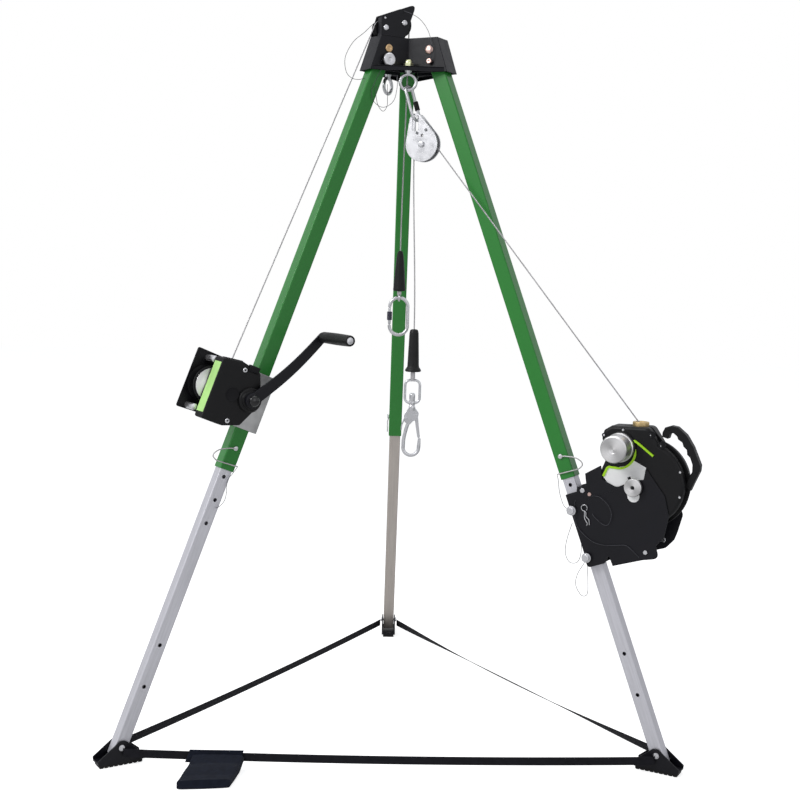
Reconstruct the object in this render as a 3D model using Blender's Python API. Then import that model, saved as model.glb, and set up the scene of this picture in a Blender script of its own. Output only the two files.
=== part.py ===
# Lifting tripod with a crank winch and a retrieval unit.
# Metres, +Z up. The third leg points along +Y and the two front legs towards -Y.
# Run with: blender --background --python part.py

import math

import bmesh
import bpy
from mathutils import Matrix, Vector

# Driving sizes of the tripod, in metres

PIVOT_HEIGHT = 2.205          # leg bolts above the floor
PIVOT_RADIUS = 0.0955         # leg bolts from the middle of the head
FOOT_BOLT_HEIGHT = 0.055
LEG_ANGLE = math.radians(21.43)
UPPER_TUBE = 0.048            # outside width of the upper square tube
UPPER_WALL = 0.003
LOWER_TUBE = 0.041
LOWER_WALL = 0.0025
UPPER_LENGTH = 1.437          # leg bolt to the open end of the upper tube
TUBE_DATUM = 1.437            # upper tube that the winch and the unit are measured on
TUBE_OVERLAP = 0.376          # lower tube hidden in the upper one
TUBE_TOP = 0.022              # upper tube above its bolt
GAP = 0.0003                  # between pieces that touch
RUNNING = 0.00005             # least gap between a journal and its bore
HOLE_PITCH = 0.075            # of the adjusting holes
ROPE = 0.0045                 # wire rope diameter
WIRE = 0.002                  # lanyard wire diameter

# Driving sizes of the head

HEAD_HALF = 0.036             # middle of a socket to its cheek's outer face
PLATE = 0.004
HEAD_TOP = 0.040              # above the leg bolts
HEAD_BOTTOM = -0.072
SOCKET_TOP = 0.1245           # reach of a socket at its top edge
SOCKET_BOTTOM = 0.1625
SHEAVE_IN = (0.0400, 0.0866, 0.0395)     # reach, height and rope radius of the middle sheave
SHEAVE_OUT = (0.1085, 0.0641, 0.0232)
SHEAVE_HALF = 0.0095
EYE_REACH = 0.075
EYE_DROP = -0.105
EYE_RADIUS = 0.0255
EYE_BAR = 0.0055
BRIDGE = (-0.0615, -0.0575)   # heights of the plates between the sockets
EYE_SHANK = 0.0070
LOCK_PLACE = (0.101, -0.038)
LOCK_PIN = 0.0050
BOLT = 0.0060                 # radius of a leg bolt, and of a sheave's journal
BUSH = 0.0130
AXLE_NECK = 0.0048

# Driving sizes of the winch, from the leg bolt along and out from the leg

DRUM_PLACE = (0.149, 1.211)
DRUM_CORE = 0.0297
DRUM_FLANGE = 0.0575
DRUM_SPAN = (-0.0235, 0.0190)
CRANK_PLACE = (0.034, 1.214)
CRANK_END = (-0.114, 0.950)
SHAFT = 0.0080                # radius of the drum's journals and of the crank shaft
WINDINGS = 7
SPINDLE = 0.0055
WINCH_BACK = -0.0278          # inner face of the rear plate
COVER_FACES = (0.0281, 0.0680)

# Driving sizes of the retrieval unit on the right leg

UNIT_HALF = 0.0395            # housing's half thickness
KNOB_PLACE = (0.204, 1.393)
KNOB_RADIUS = 0.044
LEVER_PLACE = (0.207, 1.519)
COLLAR_PLACE = (0.271, 1.343)
COLLAR_SEAT = 0.002
COLLAR_TOP = 0.021
COLLAR_RADIUS = 0.026
TAIL = 0.055                  # short end of rope that moves with the retrieval unit

# Driving sizes of what hangs

BLOCK_AXLE = 0.060            # from the front eye, towards the retrieval unit
BLOCK_HEIGHT = PIVOT_HEIGHT - 0.3055
BLOCK_ROPE = 0.0315           # rope radius on the block's sheave
BLOCK_DIRECTION = math.radians(-27.0)
RECOVERY_X = 0.0425
CARABINER_X = -0.0080

LEGS = {"left": 210.0, "right": 330.0, "back": 90.0}
EYES = {"front": 270.0, "rear": 150.0}
FINISH = {}


def clear_scene():
    for old in list(bpy.data.objects):
        bpy.data.objects.remove(old, do_unlink=True)


def finish(name, colour, metallic, roughness):
    """Make a Principled material once and return it."""
    if name not in FINISH:
        made = bpy.data.materials.new(name)
        made.use_nodes = True
        shader = made.node_tree.nodes["Principled BSDF"]
        shader.inputs["Base Color"].default_value = (*colour, 1.0)
        shader.inputs["Metallic"].default_value = metallic
        shader.inputs["Roughness"].default_value = roughness
        made.diffuse_color = (*colour, 1.0)
        FINISH[name] = made
    return FINISH[name]


def green_paint():
    return finish("green_paint", (0.06, 0.27, 0.07), 0.0, 0.35)


def silver_tube():
    return finish("silver_tube", (0.60, 0.60, 0.63), 0.85, 0.4)


def black_paint():
    return finish("black_paint", (0.015, 0.016, 0.02), 0.0, 0.4)


def black_plastic():
    return finish("black_plastic", (0.012, 0.012, 0.013), 0.0, 0.5)


def bright_steel():
    return finish("bright_steel", (0.68, 0.68, 0.70), 1.0, 0.28)


def brushed_steel():
    return finish("brushed_steel", (0.50, 0.50, 0.51), 1.0, 0.35)


def brass():
    return finish("brass", (0.60, 0.42, 0.16), 1.0, 0.35)


def rope_steel():
    return finish("rope_steel", (0.42, 0.42, 0.42), 0.9, 0.45)


def webbing():
    return finish("webbing", (0.015, 0.015, 0.025), 0.0, 0.8)


def pouch_cloth():
    return finish("pouch_cloth", (0.020, 0.026, 0.035), 0.0, 0.85)


def grip_rubber():
    return finish("grip_rubber", (0.016, 0.016, 0.020), 0.0, 0.6)


# Frames: each is a matrix whose columns are a piece's own axes in the world

def axes_frame(origin, x_axis, y_axis, z_axis):
    made = Matrix.Identity(4)
    for column, axis in enumerate((x_axis, y_axis, z_axis, origin)):
        for row in range(3):
            made[row][column] = axis[row]
    return made


def radial(azimuth):
    angle = math.radians(azimuth)
    return Vector((math.cos(angle), math.sin(angle), 0.0))


def tangent(azimuth):
    angle = math.radians(azimuth)
    return Vector((-math.sin(angle), math.cos(angle), 0.0))


def leg_frame(azimuth):
    """Origin on the leg bolt, +X out of the leg's outer face, +Z up the leg."""
    out = radial(azimuth)
    up = Vector((0.0, 0.0, 1.0))
    normal = out * math.cos(LEG_ANGLE) + up * math.sin(LEG_ANGLE)
    along = up * math.cos(LEG_ANGLE) - out * math.sin(LEG_ANGLE)
    origin = out * PIVOT_RADIUS + up * PIVOT_HEIGHT
    return axes_frame(origin, normal, tangent(azimuth), along)


def fitted_frame(side):
    """A leg's frame, moved along it with the open end of the upper tube."""
    return shifted(leg_frame(LEGS[side]), 0.0, 0.0, TUBE_DATUM - UPPER_LENGTH)


def head_frame(azimuth):
    """Origin on the tripod's middle line at bolt height, +X along one socket."""
    origin = Vector((0.0, 0.0, PIVOT_HEIGHT))
    return axes_frame(origin, radial(azimuth), tangent(azimuth), Vector((0.0, 0.0, 1.0)))


def foot_frame(azimuth):
    """Origin on the foot bolt, level with the floor."""
    reach = PIVOT_RADIUS + (PIVOT_HEIGHT - FOOT_BOLT_HEIGHT) * math.tan(LEG_ANGLE)
    origin = radial(azimuth) * reach + Vector((0.0, 0.0, FOOT_BOLT_HEIGHT))
    return axes_frame(origin, radial(azimuth), tangent(azimuth), Vector((0.0, 0.0, 1.0)))


def shifted(frame, x, y, z):
    return frame @ Matrix.Translation((x, y, z))


def side_axle(frame, x, z, towards=1.0):
    """A frame at (x, z) whose +Z runs along the parent's Y axis, or against it."""
    return shifted(frame, x, 0.0, z) @ Matrix.Rotation(-towards * math.pi / 2, 4, "X")


def bore(radius, sides):
    """Corner radius of a many-sided bore whose flats clear a shaft of this radius."""
    return (radius + RUNNING) / math.cos(math.pi / sides)


LEG_LENGTH = (PIVOT_HEIGHT - FOOT_BOLT_HEIGHT) / math.cos(LEG_ANGLE)


# Solids

def solid(name, vertices, faces, frame, material):
    """A closed mesh whose object stands on the given frame."""
    mesh = bpy.data.meshes.new(name)
    mesh.from_pydata([tuple(v) for v in vertices], [], faces)
    shape = bmesh.new()
    shape.from_mesh(mesh)
    bmesh.ops.remove_doubles(shape, verts=shape.verts, dist=1e-7)
    bmesh.ops.recalc_face_normals(shape, faces=shape.faces)
    shape.to_mesh(mesh)
    shape.free()
    made = bpy.data.objects.new(name, mesh)
    bpy.context.scene.collection.objects.link(made)
    made.matrix_world = frame
    if material:
        mesh.materials.append(material)
    return made


def revolve(name, profile, frame, material=None, sides=24):
    """Turn (radius, height) points round +Z. A profile off the axis leaves a bore."""
    vertices, rings, faces = [], [], []
    for radius, height in profile:
        ring = []
        if radius == 0.0:
            ring = [len(vertices)] * sides
            vertices.append((0.0, 0.0, height))
        else:
            for step in range(sides):
                angle = 2 * math.pi * step / sides
                ring.append(len(vertices))
                vertices.append((radius * math.cos(angle), radius * math.sin(angle), height))
        rings.append(ring)
    count = len(rings)
    last = count if profile[0][0] > 0.0 else count - 1
    for index in range(last):
        lower, upper = rings[index], rings[(index + 1) % count]
        for step in range(sides):
            after = (step + 1) % sides
            face = [lower[step], lower[after], upper[after], upper[step]]
            face = [v for i, v in enumerate(face) if v != face[i - 1]]
            if len(face) > 2:
                faces.append(face)
    return solid(name, vertices, faces, frame, material)


def plate(name, outline, low, high, frame, material=None, chamfer=0.0):
    """Extrude an (x, z) outline along Y, with a chamfer round both faces."""
    levels = [(low, 0.0), (high, 0.0)]
    if chamfer:
        levels = [(low, chamfer), (low + chamfer, 0.0), (high - chamfer, 0.0), (high, chamfer)]
    count = len(outline)
    vertices = []
    for height, inset in levels:
        vertices += [(x, height, z) for x, z in shrink(outline, inset)]
    faces = [list(range(count)), list(range(len(vertices) - count, len(vertices)))]
    for level in range(len(levels) - 1):
        for index in range(count):
            after = (index + 1) % count
            start = level * count
            faces.append([start + index, start + after,
                          start + count + after, start + count + index])
    return solid(name, vertices, faces, frame, material)


def shrink(outline, inset):
    """Move every edge of a closed outline inwards."""
    if inset == 0.0:
        return list(outline)
    area = sum(a[0] * b[1] - b[0] * a[1] for a, b in zip(outline, outline[1:] + outline[:1]))
    turn = 1.0 if area > 0 else -1.0
    moved = []
    for index, here in enumerate(outline):
        before = Vector(here) - Vector(outline[index - 1])
        after = Vector(outline[(index + 1) % len(outline)]) - Vector(here)
        normal_a = Vector((-before.y, before.x)).normalized() * turn
        normal_b = Vector((-after.y, after.x)).normalized() * turn
        middle = (normal_a + normal_b).normalized()
        reach = inset / max(middle.dot(normal_a), 0.35)
        moved.append((here[0] + middle.x * reach, here[1] + middle.y * reach))
    return moved


def rounded(corners, steps=2):
    """Replace each (x, z, radius) corner by an arc."""
    outline = []
    for index, (x, z, radius) in enumerate(corners):
        here = Vector((x, z))
        if radius == 0.0:
            outline.append((x, z))
            continue
        back = Vector(corners[index - 1][:2]) - here
        ahead = Vector(corners[(index + 1) % len(corners)][:2]) - here
        half = back.angle(ahead) / 2
        reach = min(radius / math.tan(half), back.length * 0.49, ahead.length * 0.49)
        start, end = here + back.normalized() * reach, here + ahead.normalized() * reach
        for step in range(steps + 1):
            share = step / steps
            point = (1 - share) ** 2 * start + 2 * share * (1 - share) * here + share ** 2 * end
            outline.append((point.x, point.y))
    return outline


def sharp(points):
    """Outline points as corners without a radius."""
    return [(x, z, 0.0) for x, z in points]


def box(name, low, high, frame, material=None):
    outline = [(low[0], low[2]), (high[0], low[2]), (high[0], high[2]), (low[0], high[2])]
    return plate(name, outline, low[1], high[1], frame, material)


def square_ring(width, radius, steps=1):
    """Corner points of a rounded square."""
    half = width / 2 - radius
    points = []
    for corner, (x, y) in enumerate(((half, half), (-half, half), (-half, -half), (half, -half))):
        for step in range(steps + 1):
            angle = math.pi / 2 * (corner + step / steps)
            points.append((x + radius * math.cos(angle), y + radius * math.sin(angle)))
    return points


def square_tube(name, outer, wall, low, high, frame, material, radius=0.004):
    """A hollow square tube along Z, open at both ends."""
    loops = [square_ring(outer, radius), square_ring(outer - 2 * wall, radius - 0.0025)]
    count = len(loops[0])
    vertices = [(x, y, z) for z in (low, high) for loop in loops for x, y in loop]
    faces = []
    for index in range(count):
        after = (index + 1) % count
        for first, second in ((0, 2), (1, 3), (0, 1), (2, 3)):
            faces.append([first * count + index, first * count + after,
                          second * count + after, second * count + index])
    return solid(name, vertices, faces, frame, material)


def sweep(name, points, radius, frame, material=None, sides=8, closed=False):
    """A round bar along a line of points. radius may be one value or one for each point."""
    points = [Vector(p) for p in points]
    count = len(points)
    radii = radius if isinstance(radius, (list, tuple)) else [radius] * count
    tangents = []
    for index in range(count):
        before = points[index - 1] if closed or index else points[0]
        after = points[(index + 1) % count] if closed or index < count - 1 else points[-1]
        tangents.append((after - before).normalized())
    side = tangents[0].orthogonal().normalized()
    vertices = []
    for index in range(count):
        side = (side - tangents[index] * side.dot(tangents[index])).normalized()
        other = tangents[index].cross(side)
        for step in range(sides):
            angle = 2 * math.pi * step / sides
            offset = side * math.cos(angle) + other * math.sin(angle)
            vertices.append(points[index] + offset * radii[index])
    faces = []
    for index in range(count if closed else count - 1):
        start, end = index * sides, ((index + 1) % count) * sides
        for step in range(sides):
            after = (step + 1) % sides
            faces.append([start + step, start + after, end + after, end + step])
    if not closed:
        faces.append(list(range(sides)))
        faces.append(list(range((count - 1) * sides, count * sides)))
    return solid(name, vertices, faces, frame, material)


def rest_on_frame(tool, frame):
    """Express a tool's mesh in the given frame, on a fine grid that keeps flat faces flat."""
    local = frame.inverted() @ tool.matrix_world
    for vertex in tool.data.vertices:
        place = local @ vertex.co
        vertex.co = [round(value, 7) for value in place]
    tool.matrix_world = Matrix.Identity(4)


def split_faces(mesh):
    """Cut many-sided faces, which may run round a hole, into triangles."""
    shape = bmesh.new()
    shape.from_mesh(mesh)
    bmesh.ops.dissolve_degenerate(shape, edges=shape.edges, dist=2e-6)
    wide = [face for face in shape.faces if len(face.verts) > 4]
    bmesh.ops.triangulate(shape, faces=wide, ngon_method="EAR_CLIP")
    shape.to_mesh(mesh)
    shape.free()


def combine(target, tools, operation):
    """Apply exact booleans in the target's own frame and drop the tools."""
    kept = target.data.materials[0] if target.data.materials else None
    frame = target.matrix_world.copy()
    for piece in [target] + tools:
        rest_on_frame(piece, frame)
    for tool in tools:
        step = target.modifiers.new("step", "BOOLEAN")
        step.operation = operation
        step.solver = "EXACT"
        step.object = tool
    bpy.context.view_layer.update()
    graph = bpy.context.evaluated_depsgraph_get()
    mesh = bpy.data.meshes.new_from_object(target.evaluated_get(graph))
    target.modifiers.clear()
    target.data = mesh
    split_faces(mesh)
    mesh.materials.clear()
    if kept:
        mesh.materials.append(kept)
    for polygon in mesh.polygons:
        polygon.material_index = 0
    target.matrix_world = frame
    for tool in tools:
        bpy.data.objects.remove(tool, do_unlink=True)
    return target


def weld(target, tools):
    return combine(target, tools, "UNION")


def cut(target, tools):
    return combine(target, tools, "DIFFERENCE")


def drill(radius, low, high, frame, sides=16):
    """A plain round cutter along the frame's Z axis."""
    return revolve("drill", [(0.0, low), (radius, low), (radius, high), (0.0, high)],
                   frame, None, sides)


# Cords

def smooth(route, spacing, most=80):
    """Even points on a smooth curve through the route's own points."""
    route = [Vector(p) for p in route]
    dense = []
    for index in range(len(route) - 1):
        before = route[index - 1] if index else route[0] * 2 - route[1]
        here, ahead = route[index], route[index + 1]
        after = route[index + 2] if index + 2 < len(route) else ahead * 2 - here
        for step in range(12):
            t = step / 12
            dense.append(0.5 * (2 * here + (ahead - before) * t
                                + (2 * before - 5 * here + 4 * ahead - after) * t ** 2
                                + (3 * here - before - 3 * ahead + after) * t ** 3))
    dense.append(route[-1])
    lengths = [0.0]
    for first, second in zip(dense, dense[1:]):
        lengths.append(lengths[-1] + (second - first).length)
    total = lengths[-1]
    count = max(2, min(most, int(round(total / spacing)) + 1))
    points, place = [], 0
    for step in range(count):
        goal = total * step / (count - 1)
        while place < len(dense) - 2 and lengths[place + 1] < goal:
            place += 1
        span = lengths[place + 1] - lengths[place]
        share = (goal - lengths[place]) / span if span else 0.0
        points.append(dense[place].lerp(dense[place + 1], min(max(share, 0.0), 1.0)))
    return points, total


def cord(name, points, diameter, material, resolution=2):
    """A round cord as a curve with a bevel and closed ends."""
    curve = bpy.data.curves.new(name, "CURVE")
    curve.dimensions = "3D"
    curve.bevel_depth = diameter / 2
    curve.bevel_resolution = resolution
    curve.use_fill_caps = True
    spline = curve.splines.new("POLY")
    spline.points.add(len(points) - 1)
    for place, point in zip(spline.points, points):
        place.co = (*point, 1.0)
    curve.materials.append(material)
    made = bpy.data.objects.new(name, curve)
    bpy.context.scene.collection.objects.link(made)
    return made


def routed_cord(name, route, diameter, material, spacing):
    points, total = smooth(route, spacing)
    print(f"CORD {name} length {total:.4f} points {len(points)}")
    return cord(name, points, diameter, material)


# The head: three sockets folded from plate, bridging plates and the pulley tower

def socket_star(half, reach):
    """Nine corners of the three-armed outline at one height."""
    corners = []
    for azimuth in sorted(LEGS.values()):
        corners.append(radial(azimuth) * reach - tangent(azimuth) * half)
        corners.append(radial(azimuth) * reach + tangent(azimuth) * half)
        corners.append(radial(azimuth + 60) * half / math.sin(math.pi / 3))
    return corners


def make_head():
    frame = head_frame(0.0)
    slope = (SOCKET_BOTTOM - SOCKET_TOP) / (HEAD_TOP - HEAD_BOTTOM)
    wall = PLATE * math.hypot(1.0, slope)
    vertices = []
    for height, reach in ((HEAD_BOTTOM, SOCKET_BOTTOM), (HEAD_TOP, SOCKET_TOP)):
        for half, back in ((HEAD_HALF, 0.0), (HEAD_HALF - PLATE, wall)):
            vertices += [corner + Vector((0.0, 0.0, height))
                         for corner in socket_star(half, reach - back)]
    faces = []
    for index in range(9):
        after = (index + 1) % 9
        for first, second in ((0, 18), (9, 27), (0, 9), (18, 27)):
            faces.append([first + index, first + after, second + after, second + index])
    head = solid("head_frame", vertices, faces, frame, black_paint())
    parts = []
    for azimuth in LEGS.values():
        parts += bridge_plate(azimuth)
    parts += tower_plates()
    weld(head, parts)
    cut(head, head_holes())
    return head


def bridge_plate(azimuth):
    """The level plate between two sockets, with its turned-down lip."""
    middle = head_frame(azimuth + 60)
    reach = SOCKET_BOTTOM - 0.0075
    half = HEAD_HALF - 0.002
    ends = []
    for side, turn in ((radial(-60), tangent(-60)), (radial(60), -tangent(60))):
        ends.append(side * reach + turn * half)
    inner = Vector((half / math.sin(math.pi / 3), 0.0, 0.0))
    level = BRIDGE
    made = []
    for low, high, corners in (
            (level[0], level[1], [inner, ends[0], ends[1]]),
            (HEAD_BOTTOM, level[1] - 0.0005,
             [ends[0], ends[1], ends[1] - Vector((PLATE, 0, 0)), ends[0] - Vector((PLATE, 0, 0))])):
        count = len(corners)
        vertices = [corner + Vector((0, 0, height)) for height in (low, high) for corner in corners]
        faces = [list(range(count)), list(range(count, 2 * count))]
        for index in range(count):
            after = (index + 1) % count
            faces.append([index, after, count + after, count + index])
        made.append(solid("bridge", vertices, faces, middle, None))
    return made


def tower_plates():
    """Two cheeks above the left socket that carry the sheaves."""
    frame = head_frame(LEGS["left"])
    inner, outer = HEAD_HALF - PLATE + 0.0002, HEAD_HALF - 0.0002
    foot = HEAD_TOP - 0.010
    nose = [(-0.005, 0.1535, 0.013), (0.0385, foot + 0.004, 0.0), (0.0385, foot, 0.0)]
    front = rounded([(0.1240, foot, 0.0), (0.1252, 0.1005, 0.003)] + nose)
    rear = rounded([(0.1240, foot, 0.0), (0.1228, HEAD_TOP + 0.010, 0.0),
                    (0.1050, 0.1088, 0.003)] + nose)
    return [plate("front", front, inner, outer, frame),
            plate("rear", rear, -outer, -inner, frame)]


def head_holes():
    left = head_frame(LEGS["left"])
    holes = []
    for azimuth in LEGS.values():
        frame = head_frame(azimuth)
        holes.append(drill(bore(BOLT, 8), -0.05, 0.05, side_axle(frame, PIVOT_RADIUS, 0.0), 8))
        side = camera_side(azimuth)
        holes.append(drill(bore(LOCK_PIN, 8), 0.020, 0.05, side_axle(frame, *LOCK_PLACE, side), 8))
    for reach, height, _ in (SHEAVE_IN, SHEAVE_OUT):
        holes.append(drill(bore(AXLE_NECK, 8), -0.05, 0.05, side_axle(left, reach, height), 8))
    for azimuth in EYES.values():
        place = shifted(head_frame(azimuth), EYE_REACH, 0.0, 0.0)
        holes.append(drill(bore(EYE_SHANK, 8), -0.08, -0.05, place, 8))
    slot = rounded([(-0.004, 0.016, 0.004), (0.004, 0.016, 0.004),
                    (0.004, 0.034, 0.004), (-0.004, 0.034, 0.004)])
    turned = left @ Matrix.Rotation(math.pi / 2, 4, "Z")
    holes.append(plate("slot", slot, -0.15, -0.10, turned))
    return holes


def camera_side(azimuth):
    """+1 where the socket's +Y cheek faces the front of the tripod, else -1."""
    return -1.0 if azimuth == LEGS["right"] else 1.0


def make_eye(name, azimuth):
    """A forged ring on a threaded shank, with its collar below and its nut above."""
    frame = shifted(head_frame(azimuth), EYE_REACH, 0.0, 0.0)
    ring = []
    for step in range(14):
        angle = 2 * math.pi * step / 14
        ring.append((0.0, EYE_RADIUS * math.sin(angle), EYE_DROP + EYE_RADIUS * math.cos(angle)))
    eye = sweep(name, ring, EYE_BAR, frame, bright_steel(), sides=8, closed=True)
    top = EYE_DROP + EYE_RADIUS
    under = BRIDGE[0] - GAP
    over = BRIDGE[1] + GAP
    shank = revolve("shank", [(0.0, top), (0.0080, top), (0.0095, top + 0.007), (0.0130, under - 0.004),
                              (0.0130, under), (EYE_SHANK, under), (EYE_SHANK, over),
                              (0.0110, over), (0.0110, over + 0.010), (0.0085, over + 0.011),
                              (0.0085, over + 0.020), (0.0, over + 0.020)], frame, None, 8)
    return weld(eye, [shank])


def make_pivot_bolt(name, azimuth, cap, dome):
    """A leg bolt: cap, shaft and the two spacers that centre the tube."""
    frame = side_axle(head_frame(azimuth), PIVOT_RADIUS, 0.0, camera_side(azimuth))
    inner, outer = HEAD_HALF - PLATE - GAP, HEAD_HALF + GAP
    tube = UPPER_TUBE / 2 + GAP
    profile = [(0.0, -outer - 0.009), (0.0095, -outer - 0.009), (0.0095, -outer), (BOLT, -outer),
               (BOLT, -inner), (BUSH, -inner), (BUSH, -tube), (BOLT, -tube), (BOLT, tube),
               (BUSH, tube), (BUSH, inner), (BOLT, inner), (BOLT, outer), (cap, outer),
               (cap, outer + dome * 0.4), (cap * 0.75, outer + dome * 0.9), (0.0, outer + dome)]
    return revolve(name, profile, frame, brass(), 10)


def make_lock_pin(name, azimuth, cap, length):
    """A pull pin in the near cheek, drawn back clear of the tube."""
    frame = side_axle(head_frame(azimuth), *LOCK_PLACE, camera_side(azimuth))
    face = HEAD_HALF + GAP
    profile = [(0.0, face - 0.0085), (LOCK_PIN, face - 0.0085), (LOCK_PIN, face),
               (cap * 0.72, face), (cap * 0.72, face + length * 0.4), (cap, face + length * 0.5),
               (cap, face + length * 0.9), (cap * 0.85, face + length), (0.0, face + length)]
    return revolve(name, profile, frame, bright_steel(), 16 if cap > 0.012 else 10)


def make_sheave_axle(name, place):
    frame = side_axle(head_frame(LEGS["left"]), place[0], place[1])
    inner, outer = HEAD_HALF - PLATE - GAP, HEAD_HALF + GAP
    collar = SHEAVE_HALF + GAP
    profile = [(0.0, -outer - 0.008), (0.0085, -outer - 0.008), (0.0085, -outer),
               (AXLE_NECK, -outer), (AXLE_NECK, -inner), (0.0090, -inner), (0.0090, -collar),
               (BOLT, -collar), (BOLT, collar), (0.0090, collar), (0.0090, inner),
               (AXLE_NECK, inner), (AXLE_NECK, outer), (0.0090, outer), (0.0090, outer + 0.005),
               (0.0, outer + 0.006)]
    return revolve(name, profile, frame, bright_steel(), 10)


def make_sheave(name, rope_radius, frame, half=SHEAVE_HALF, sides=18):
    """A grooved wheel whose rope's middle runs at rope_radius."""
    bottom = rope_radius - ROPE / 2 - 0.0007
    rim = rope_radius + 0.0031
    hole = bore(BOLT, sides)
    profile = [(hole, -half), (rim, -half), (rim, 0.0020 - half), (bottom, -0.0022),
               (bottom, 0.0022), (rim, half - 0.0020), (rim, half), (hole, half)]
    return revolve(name, profile, frame, bright_steel(), sides)


# Legs and feet

HOLES = (UPPER_LENGTH + 0.022, UPPER_LENGTH + 0.022 + HOLE_PITCH,
         UPPER_LENGTH + 0.022 + 2 * HOLE_PITCH, 1.995, 2.124)
PIN_PLACE = UPPER_LENGTH - 0.071
PIN = 0.0050
FOOT_BOLT = 0.0050
FOOT_OUTER = LOWER_TUBE / 2 + 0.006   # foot's middle to an ear's outer face
FOOT_HEAD = 0.0060            # bolt head outside the ear


def make_upper_leg(side, azimuth):
    frame = leg_frame(azimuth)
    near = camera_side(azimuth)
    tube = square_tube(f"leg_upper_{side}", UPPER_TUBE, UPPER_WALL, -UPPER_LENGTH, TUBE_TOP,
                       frame, green_paint())
    cut(tube, [drill(bore(BOLT, 12), -0.04, 0.04, side_axle(frame, 0.0, 0.0), 12),
               drill(bore(PIN, 8), 0.018, 0.03, side_axle(frame, 0.0, -PIN_PLACE, near), 8)])
    return tube


def make_lower_leg(side, azimuth):
    frame = leg_frame(azimuth)
    origin = shifted(frame, 0.0, 0.0, -UPPER_LENGTH)
    top = TUBE_OVERLAP
    bottom = UPPER_LENGTH - LEG_LENGTH - 0.030
    tube = square_tube(f"leg_lower_{side}", LOWER_TUBE, LOWER_WALL, bottom, top, origin,
                       silver_tube(), radius=0.0045)
    holes = [drill(0.0062, -0.04, 0.04, side_axle(frame, 0.0, -place), 8) for place in HOLES]
    holes.append(drill(bore(FOOT_BOLT, 8), -0.04, 0.04, side_axle(frame, 0.0, -LEG_LENGTH), 8))
    return cut(tube, holes)


def make_foot(side, azimuth):
    """A bent channel with two pointed ears, its bolt and a rubber sole."""
    frame = foot_frame(azimuth)
    floor = -FOOT_BOLT_HEIGHT
    inner, outer = FOOT_OUTER - 0.004, FOOT_OUTER
    ear = rounded([(-0.070, floor + 0.012, 0.0), (0.070, floor + 0.012, 0.0),
                   (0.072, floor + 0.024, 0.003), (0.004, 0.021, 0.016), (-0.012, 0.019, 0.014),
                   (-0.072, floor + 0.026, 0.003)])
    foot = plate(f"foot_{side}", ear, inner, outer, frame, black_paint())
    other = plate("ear", ear, -outer, -inner, frame)
    base = box("base", (-0.0695, -outer + 0.001, floor + 0.0105),
               (0.0695, outer - 0.001, floor + 0.016), frame)
    sole = plate("sole", rounded([(-0.066, floor, 0.002), (0.066, floor, 0.002),
                                  (0.066, floor + 0.011, 0.0), (-0.066, floor + 0.011, 0.0)]),
                 -0.021, 0.021, frame)
    bolt = revolve("bolt", [(0.0, -outer - FOOT_HEAD), (0.0080, -outer - FOOT_HEAD), (0.0080, -outer + 0.001),
                            (FOOT_BOLT, -outer + 0.001), (FOOT_BOLT, outer - 0.001),
                            (0.0080, outer - 0.001), (0.0080, outer + FOOT_HEAD), (0.0, outer + FOOT_HEAD)],
                   side_axle(frame, 0.0, 0.0), None, 8)
    return weld(foot, [other, base, sole, bolt])


def make_adjusting_pin(side, azimuth):
    """The near end of the telescope's pin, with the wire bail that holds it in."""
    frame = leg_frame(azimuth)
    near = camera_side(azimuth)
    face = UPPER_TUBE / 2
    pin = revolve(f"adjusting_pin_{side}",
                  [(0.0, face - 0.0028), (PIN, face - 0.0028), (PIN, face + GAP),
                   (0.0075, face + GAP), (0.0075, face + 0.006), (0.0, face + 0.0075)],
                  side_axle(frame, 0.0, -PIN_PLACE, near), bright_steel(), 8)
    wire = 0.0017
    stand = face + 0.0055
    route = [(0.0, stand, -PIN_PLACE), (0.010, stand + 0.0005, -PIN_PLACE - 0.012),
             (0.026, stand, -PIN_PLACE - 0.045), (0.0335, stand - 0.005, -PIN_PLACE - 0.066),
             (0.0365, 0.012, -PIN_PLACE - 0.071), (0.0365, -0.012, -PIN_PLACE - 0.069),
             (0.0335, -stand + 0.005, -PIN_PLACE - 0.062), (0.022, -stand, -PIN_PLACE - 0.055),
             (0.0, -stand, -PIN_PLACE - 0.050), (-0.027, -stand, -PIN_PLACE - 0.047)]
    points, _ = smooth([(x, y * near, z) for x, y, z in route], 0.020)
    bail = sweep("bail", points, wire, frame, None, 5)
    return weld(pin, [bail])


# The winch on the left leg

def arc(centre, radius, start, end, steps):
    """Points on part of a circle, angles in degrees."""
    made = []
    for step in range(steps + 1):
        angle = math.radians(start + (end - start) * step / steps)
        made.append((centre[0] + radius * math.cos(angle), centre[1] + radius * math.sin(angle)))
    return made


def make_winch_bracket(frame):
    """A sleeve round the leg that the winch bolts to."""
    half = UPPER_TUBE / 2 + GAP
    side = -WINCH_BACK - GAP
    outline = [(-0.0470, -1.303), (0.0275, -1.303), (0.0275, -1.122), (-0.0470, -1.122)]
    sleeve = plate("winch_bracket", outline, -side, side, frame, silver_tube(), chamfer=0.0015)
    bore = box("bore", (-0.0438, -half, -1.40), (half, half, -1.00), frame)
    return cut(sleeve, [bore])


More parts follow.
